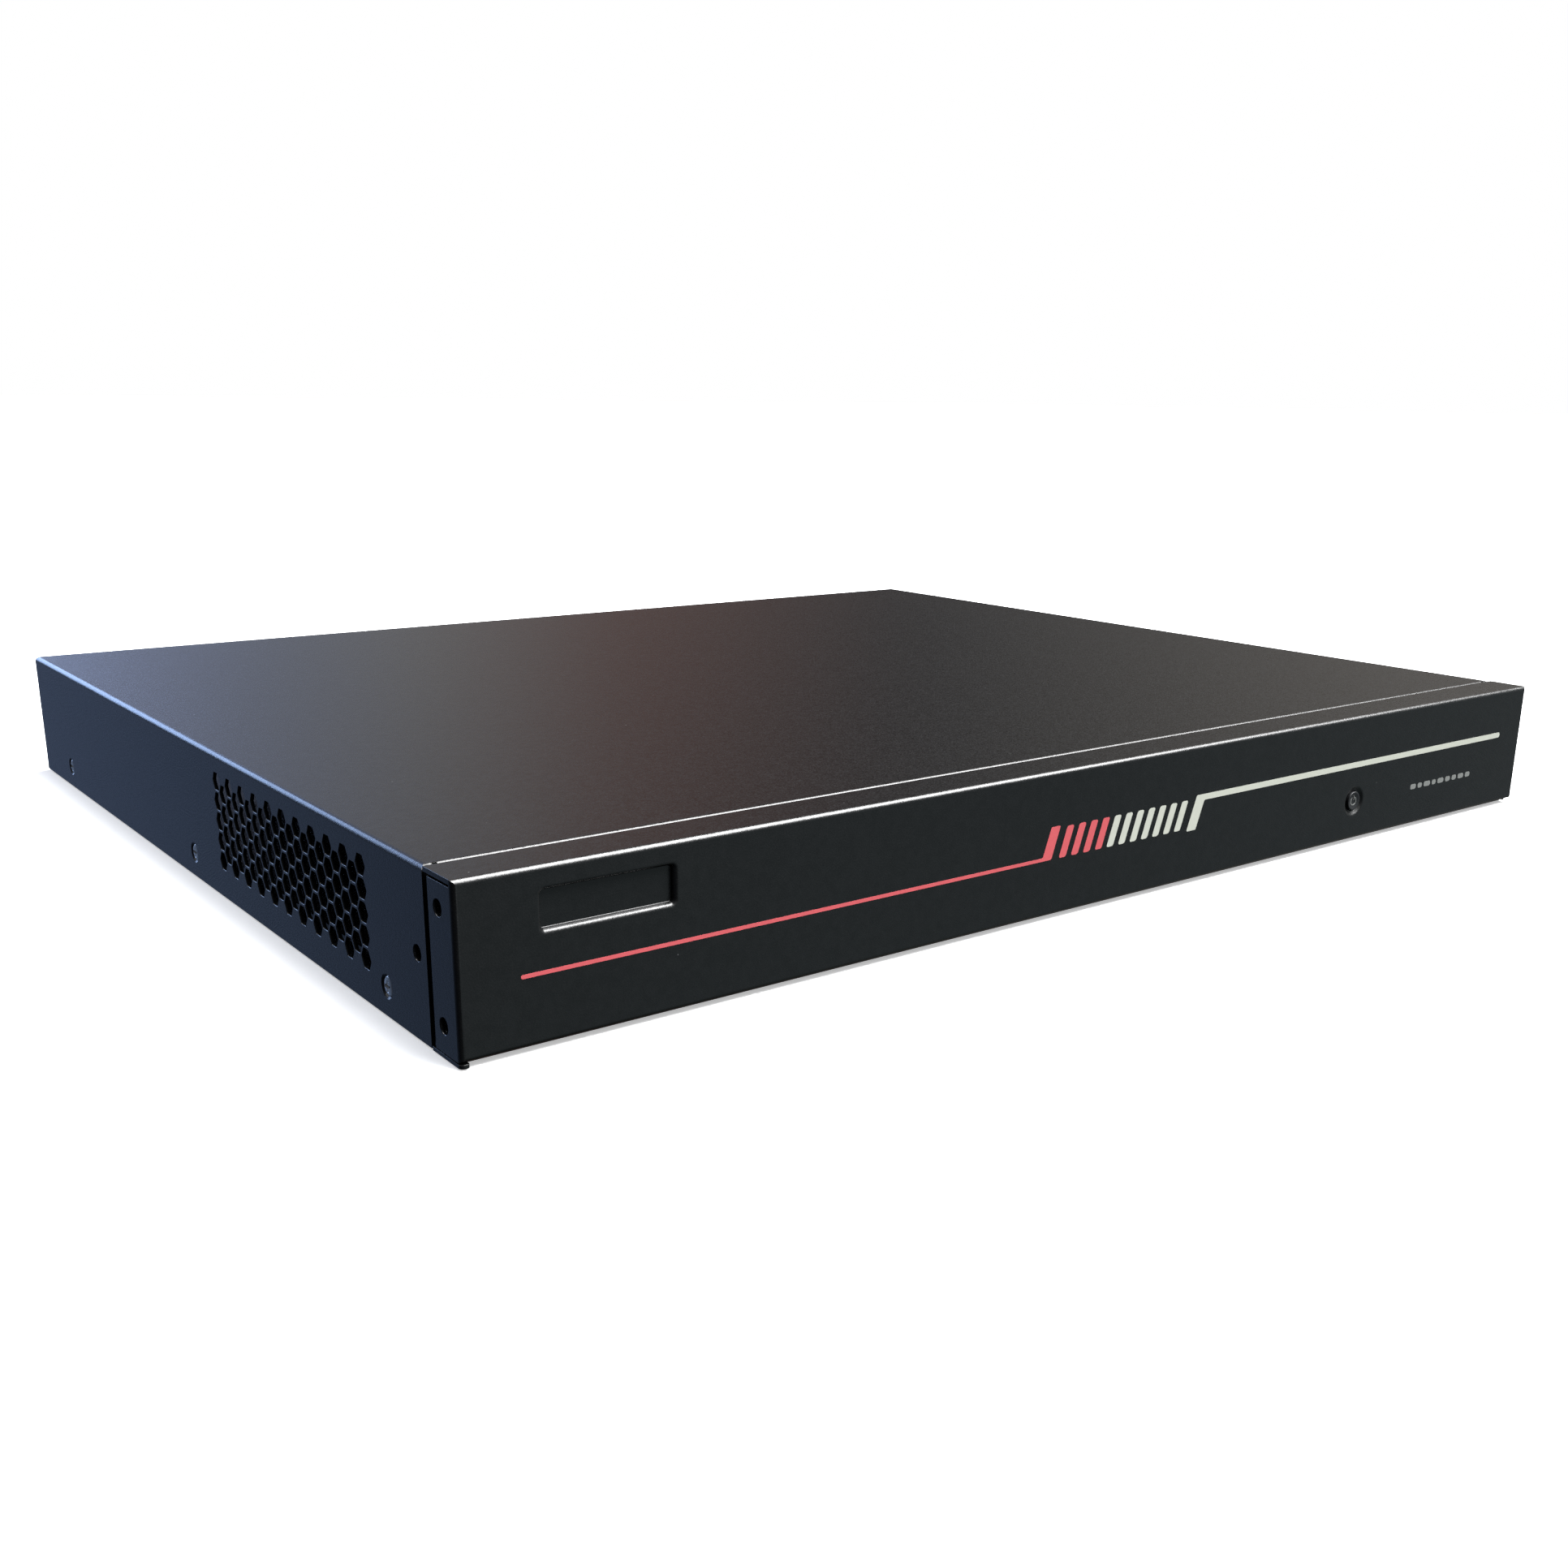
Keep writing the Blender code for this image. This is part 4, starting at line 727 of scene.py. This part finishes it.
# ---------------------------------------------------------------- printing
def leaning_bar(foot, z, width, lean):
    """A leaning bar with slightly rounded corners, as an outline of (x, z) points."""
    points = []
    for x, height in rounded_rectangle((foot, foot + width), z, 0.0007, 5):
        points.append((x + lean * (height - z[0]) / (z[1] - z[0]), height))
    return points


def printed(name, outlines, finish):
    """Flat shapes of ink on the front panel's face."""
    bm = bmesh.new()
    for outline in outlines:
        prism(outline, "Y", FRONT - INK, FRONT + INK, bm)
    piece(name, bm, finish, "chassis", sharp=30)


def red_line_and_bar():
    """The red line, which runs into the foot of its long bar, as one outline of (x, z) points."""
    low, high = RED_LINE
    start, foot, top = LINE_ENDS[0] + 0.0004, RED_FOOT, RED_FOOT + RED_LEAN
    return [
        (start, low),
        (foot + RED_WIDTH - 0.0004, low),
        (foot + RED_WIDTH + 0.0002, low + INK_CORNER),
        (top + RED_WIDTH, RED_TOP - INK_CORNER),
        (top + RED_WIDTH - INK_CORNER, RED_TOP),
        (top + INK_CORNER, RED_TOP),
        (top, RED_TOP - INK_CORNER),
        (foot + 0.0004, high + 0.0002),
        (foot, high),
        (start, high),
        *arc((start, (low + high) / 2), (high - low) / 2, 110, 250, 4),
    ]


def white_line_and_bar():
    """The white line, which starts at the top of its long bar, as one outline of (x, z) points."""
    low, high = WHITE_LINE
    end, foot, top = LINE_ENDS[1] - 0.0004, WHITE_FOOT, WHITE_FOOT + WHITE_LEAN
    return [
        (foot + INK_CORNER, WHITE_BOTTOM),
        (foot + WHITE_WIDTH - INK_CORNER, WHITE_BOTTOM),
        (foot + WHITE_WIDTH, WHITE_BOTTOM + INK_CORNER),
        (top + WHITE_WIDTH - 0.0006, low - 0.0002),
        (top + WHITE_WIDTH, low),
        (end, low),
        *arc((end - 0.0004, (low + high) / 2), (high - low) / 2, -70, 70, 4),
        (end, high),
        (top + 0.0005, high),
        (top, high - INK_CORNER),
        (foot, WHITE_BOTTOM + INK_CORNER),
    ]


def stripe():
    """The printed stripe across the front: red to the left, white to the right."""
    total = RED_BARS + WHITE_BARS
    bars = [leaning_bar(BAR_FEET + n * BAR_PITCH, BAR_Z, BAR_WIDTH, BAR_LEAN) for n in range(total)]
    printed("stripe_red", [red_line_and_bar(), *bars[:RED_BARS]], RED_INK)
    printed("stripe_white", [white_line_and_bar(), *bars[RED_BARS:]], WHITE_INK)


def mark_row():
    """A row of small plain dashes."""
    outlines, x = [], MARKS_START
    for width in MARK_WIDTHS:
        outlines.append(rounded_rectangle((x, x + width), MARKS_Z, 0.0008, 4))
        x += width + MARK_GAP
    printed("mark_row", outlines, GREY_INK)


# ---------------------------------------------------------------- studio
def area_light(name, location, size, radiance, colour=(1.0, 1.0, 1.0)):
    """A soft rectangular light that faces the appliance."""
    data = bpy.data.lights.new(name, "AREA")
    data.shape, data.size, data.size_y = "RECTANGLE", size[0], size[1]
    data.energy, data.color = radiance * math.pi * size[0] * size[1], colour
    light = bpy.data.objects.new(name, data)
    light.location = location
    light.rotation_euler = Vector(location).to_track_quat("Z", "Y").to_euler()
    bpy.context.scene.collection.objects.link(light)


def key_light():
    """A broad soft light high over the right of the front."""
    data = bpy.data.lights.new("key", "SUN")
    data.energy, data.angle = 12.0, math.radians(52)
    light = bpy.data.objects.new("key", data)
    light.rotation_euler = Vector((0.45, -0.22, 0.87)).to_track_quat("Z", "Y").to_euler()
    bpy.context.scene.collection.objects.link(light)


# What the coat mirrors all round, as (degrees from the rear towards the right, colour).
SURROUND = [
    (-90, (0.020, 0.022, 0.030)),
    (-50, (0.055, 0.075, 0.115)),
    (-24, (0.085, 0.120, 0.190)),
    (-14, (0.115, 0.165, 0.280)),
    (-7, (0.170, 0.230, 0.400)),
    (5, (0.40, 0.50, 0.85)),
    (13, (0.44, 0.52, 0.82)),
    (18, (0.30, 0.34, 0.46)),
    (24, (0.31, 0.30, 0.29)),
    (31, (0.19, 0.095, 0.075)),
    (41, (0.017, 0.013, 0.012)),
    (60, (0.20, 0.175, 0.15)),
    (120, (0.17, 0.20, 0.21)),
    (160, (0.17, 0.205, 0.215)),
    (185, (0.040, 0.045, 0.050)),
    (269, (0.020, 0.022, 0.030)),
]


def surround():
    """White to the eye, and in reflections a dim room, darker below, with a cool window at the rear left."""
    world = bpy.data.worlds.new("surround")
    world.use_nodes = True
    nodes, links = world.node_tree.nodes, world.node_tree.links
    gradient = nodes.new("ShaderNodeTexGradient")
    gradient.gradient_type = "RADIAL"
    place = nodes.new("ShaderNodeTexCoord").outputs["Generated"]
    links.new(place, gradient.inputs["Vector"])
    ramp = nodes.new("ShaderNodeValToRGB")
    links.new(gradient.outputs["Fac"], ramp.inputs["Fac"])
    stops = ramp.color_ramp.elements
    stops.remove(stops[1])
    for number, (angle, colour) in enumerate(reversed(SURROUND)):
        at = 0.75 - angle / 360
        stop = stops.new(at) if number else stops[0]
        stop.position, stop.color = at, (*colour, 1.0)
    room, seen = nodes["Background"], nodes.new("ShaderNodeBackground")
    links.new(ramp.outputs["Color"], room.inputs["Color"])
    axes, below = nodes.new("ShaderNodeSeparateXYZ"), nodes.new("ShaderNodeMapRange")
    links.new(place, axes.inputs["Vector"])
    links.new(axes.outputs["Z"], below.inputs["Value"])
    set_range(below, -0.95, -0.6, 0.1, 1.0)
    links.new(below.outputs["Result"], room.inputs["Strength"])
    seen.inputs["Color"].default_value = (1.0, 1.0, 1.0, 1.0)
    path, mix = nodes.new("ShaderNodeLightPath"), nodes.new("ShaderNodeMixShader")
    links.new(path.outputs["Is Camera Ray"], mix.inputs["Fac"])
    links.new(room.outputs["Background"], mix.inputs[1])
    links.new(seen.outputs["Background"], mix.inputs[2])
    links.new(mix.outputs["Shader"], nodes["World Output"].inputs["Surface"])
    bpy.context.scene.world = world


def studio():
    """A pale floor, soft lights and a dim surround."""
    floor = mesh_object("floor", box((-20, -20, -0.02), (20, 20, -0.0004)))
    pale = Recipe("pale floor", 0.9, specular=0.0)
    pale.colour(pale.noise(3, 2.0), (0.86, 0.86, 0.86), (0.90, 0.90, 0.90))
    pale.shader.inputs["Emission Color"].default_value = (1.0, 1.0, 1.0, 1.0)
    pale.shader.inputs["Emission Strength"].default_value = 0.45
    floor.data.materials.append(pale.material)
    floor.visible_glossy = False
    floor.visible_diffuse = False
    key_light()
    area_light("window", (-0.50, 2.4, 0.75), (1.4, 0.95), 5.0, (0.42, 0.60, 1.0))
    area_light("fill", (0.3, -3.0, 1.2), (2.5, 1.5), 0.3)
    area_light("strip", (1.5, -2.1, 1.75), (2.6, 0.8), 1.8)
    area_light("left", (-1.4, 0.8, 1.9), (0.9, 0.9), 6.0)
    surround()
    bpy.context.scene.view_settings.view_transform = "Standard"


def camera():
    """A high three-quarter view from the left of the front."""
    data = bpy.data.cameras.new("camera")
    data.lens, data.sensor_width = 36.93, 36.0
    data.shift_x, data.shift_y = -0.0155, 0.0625
    view = bpy.data.objects.new("camera", data)
    view.location = (-0.3549, -0.4847, 0.1438)
    view.rotation_euler = [math.radians(a) for a in (73.09, -0.73, -37.53)]
    data.clip_start = 0.01
    bpy.context.scene.collection.objects.link(view)
    bpy.context.scene.camera = view


dress_cad_nodes()
front_sheet()
cover_sheet()
tray_sheet()
screws()
power_button()
jack_contacts()
rocker_marks()
stripe()
mark_row()
studio()
camera()
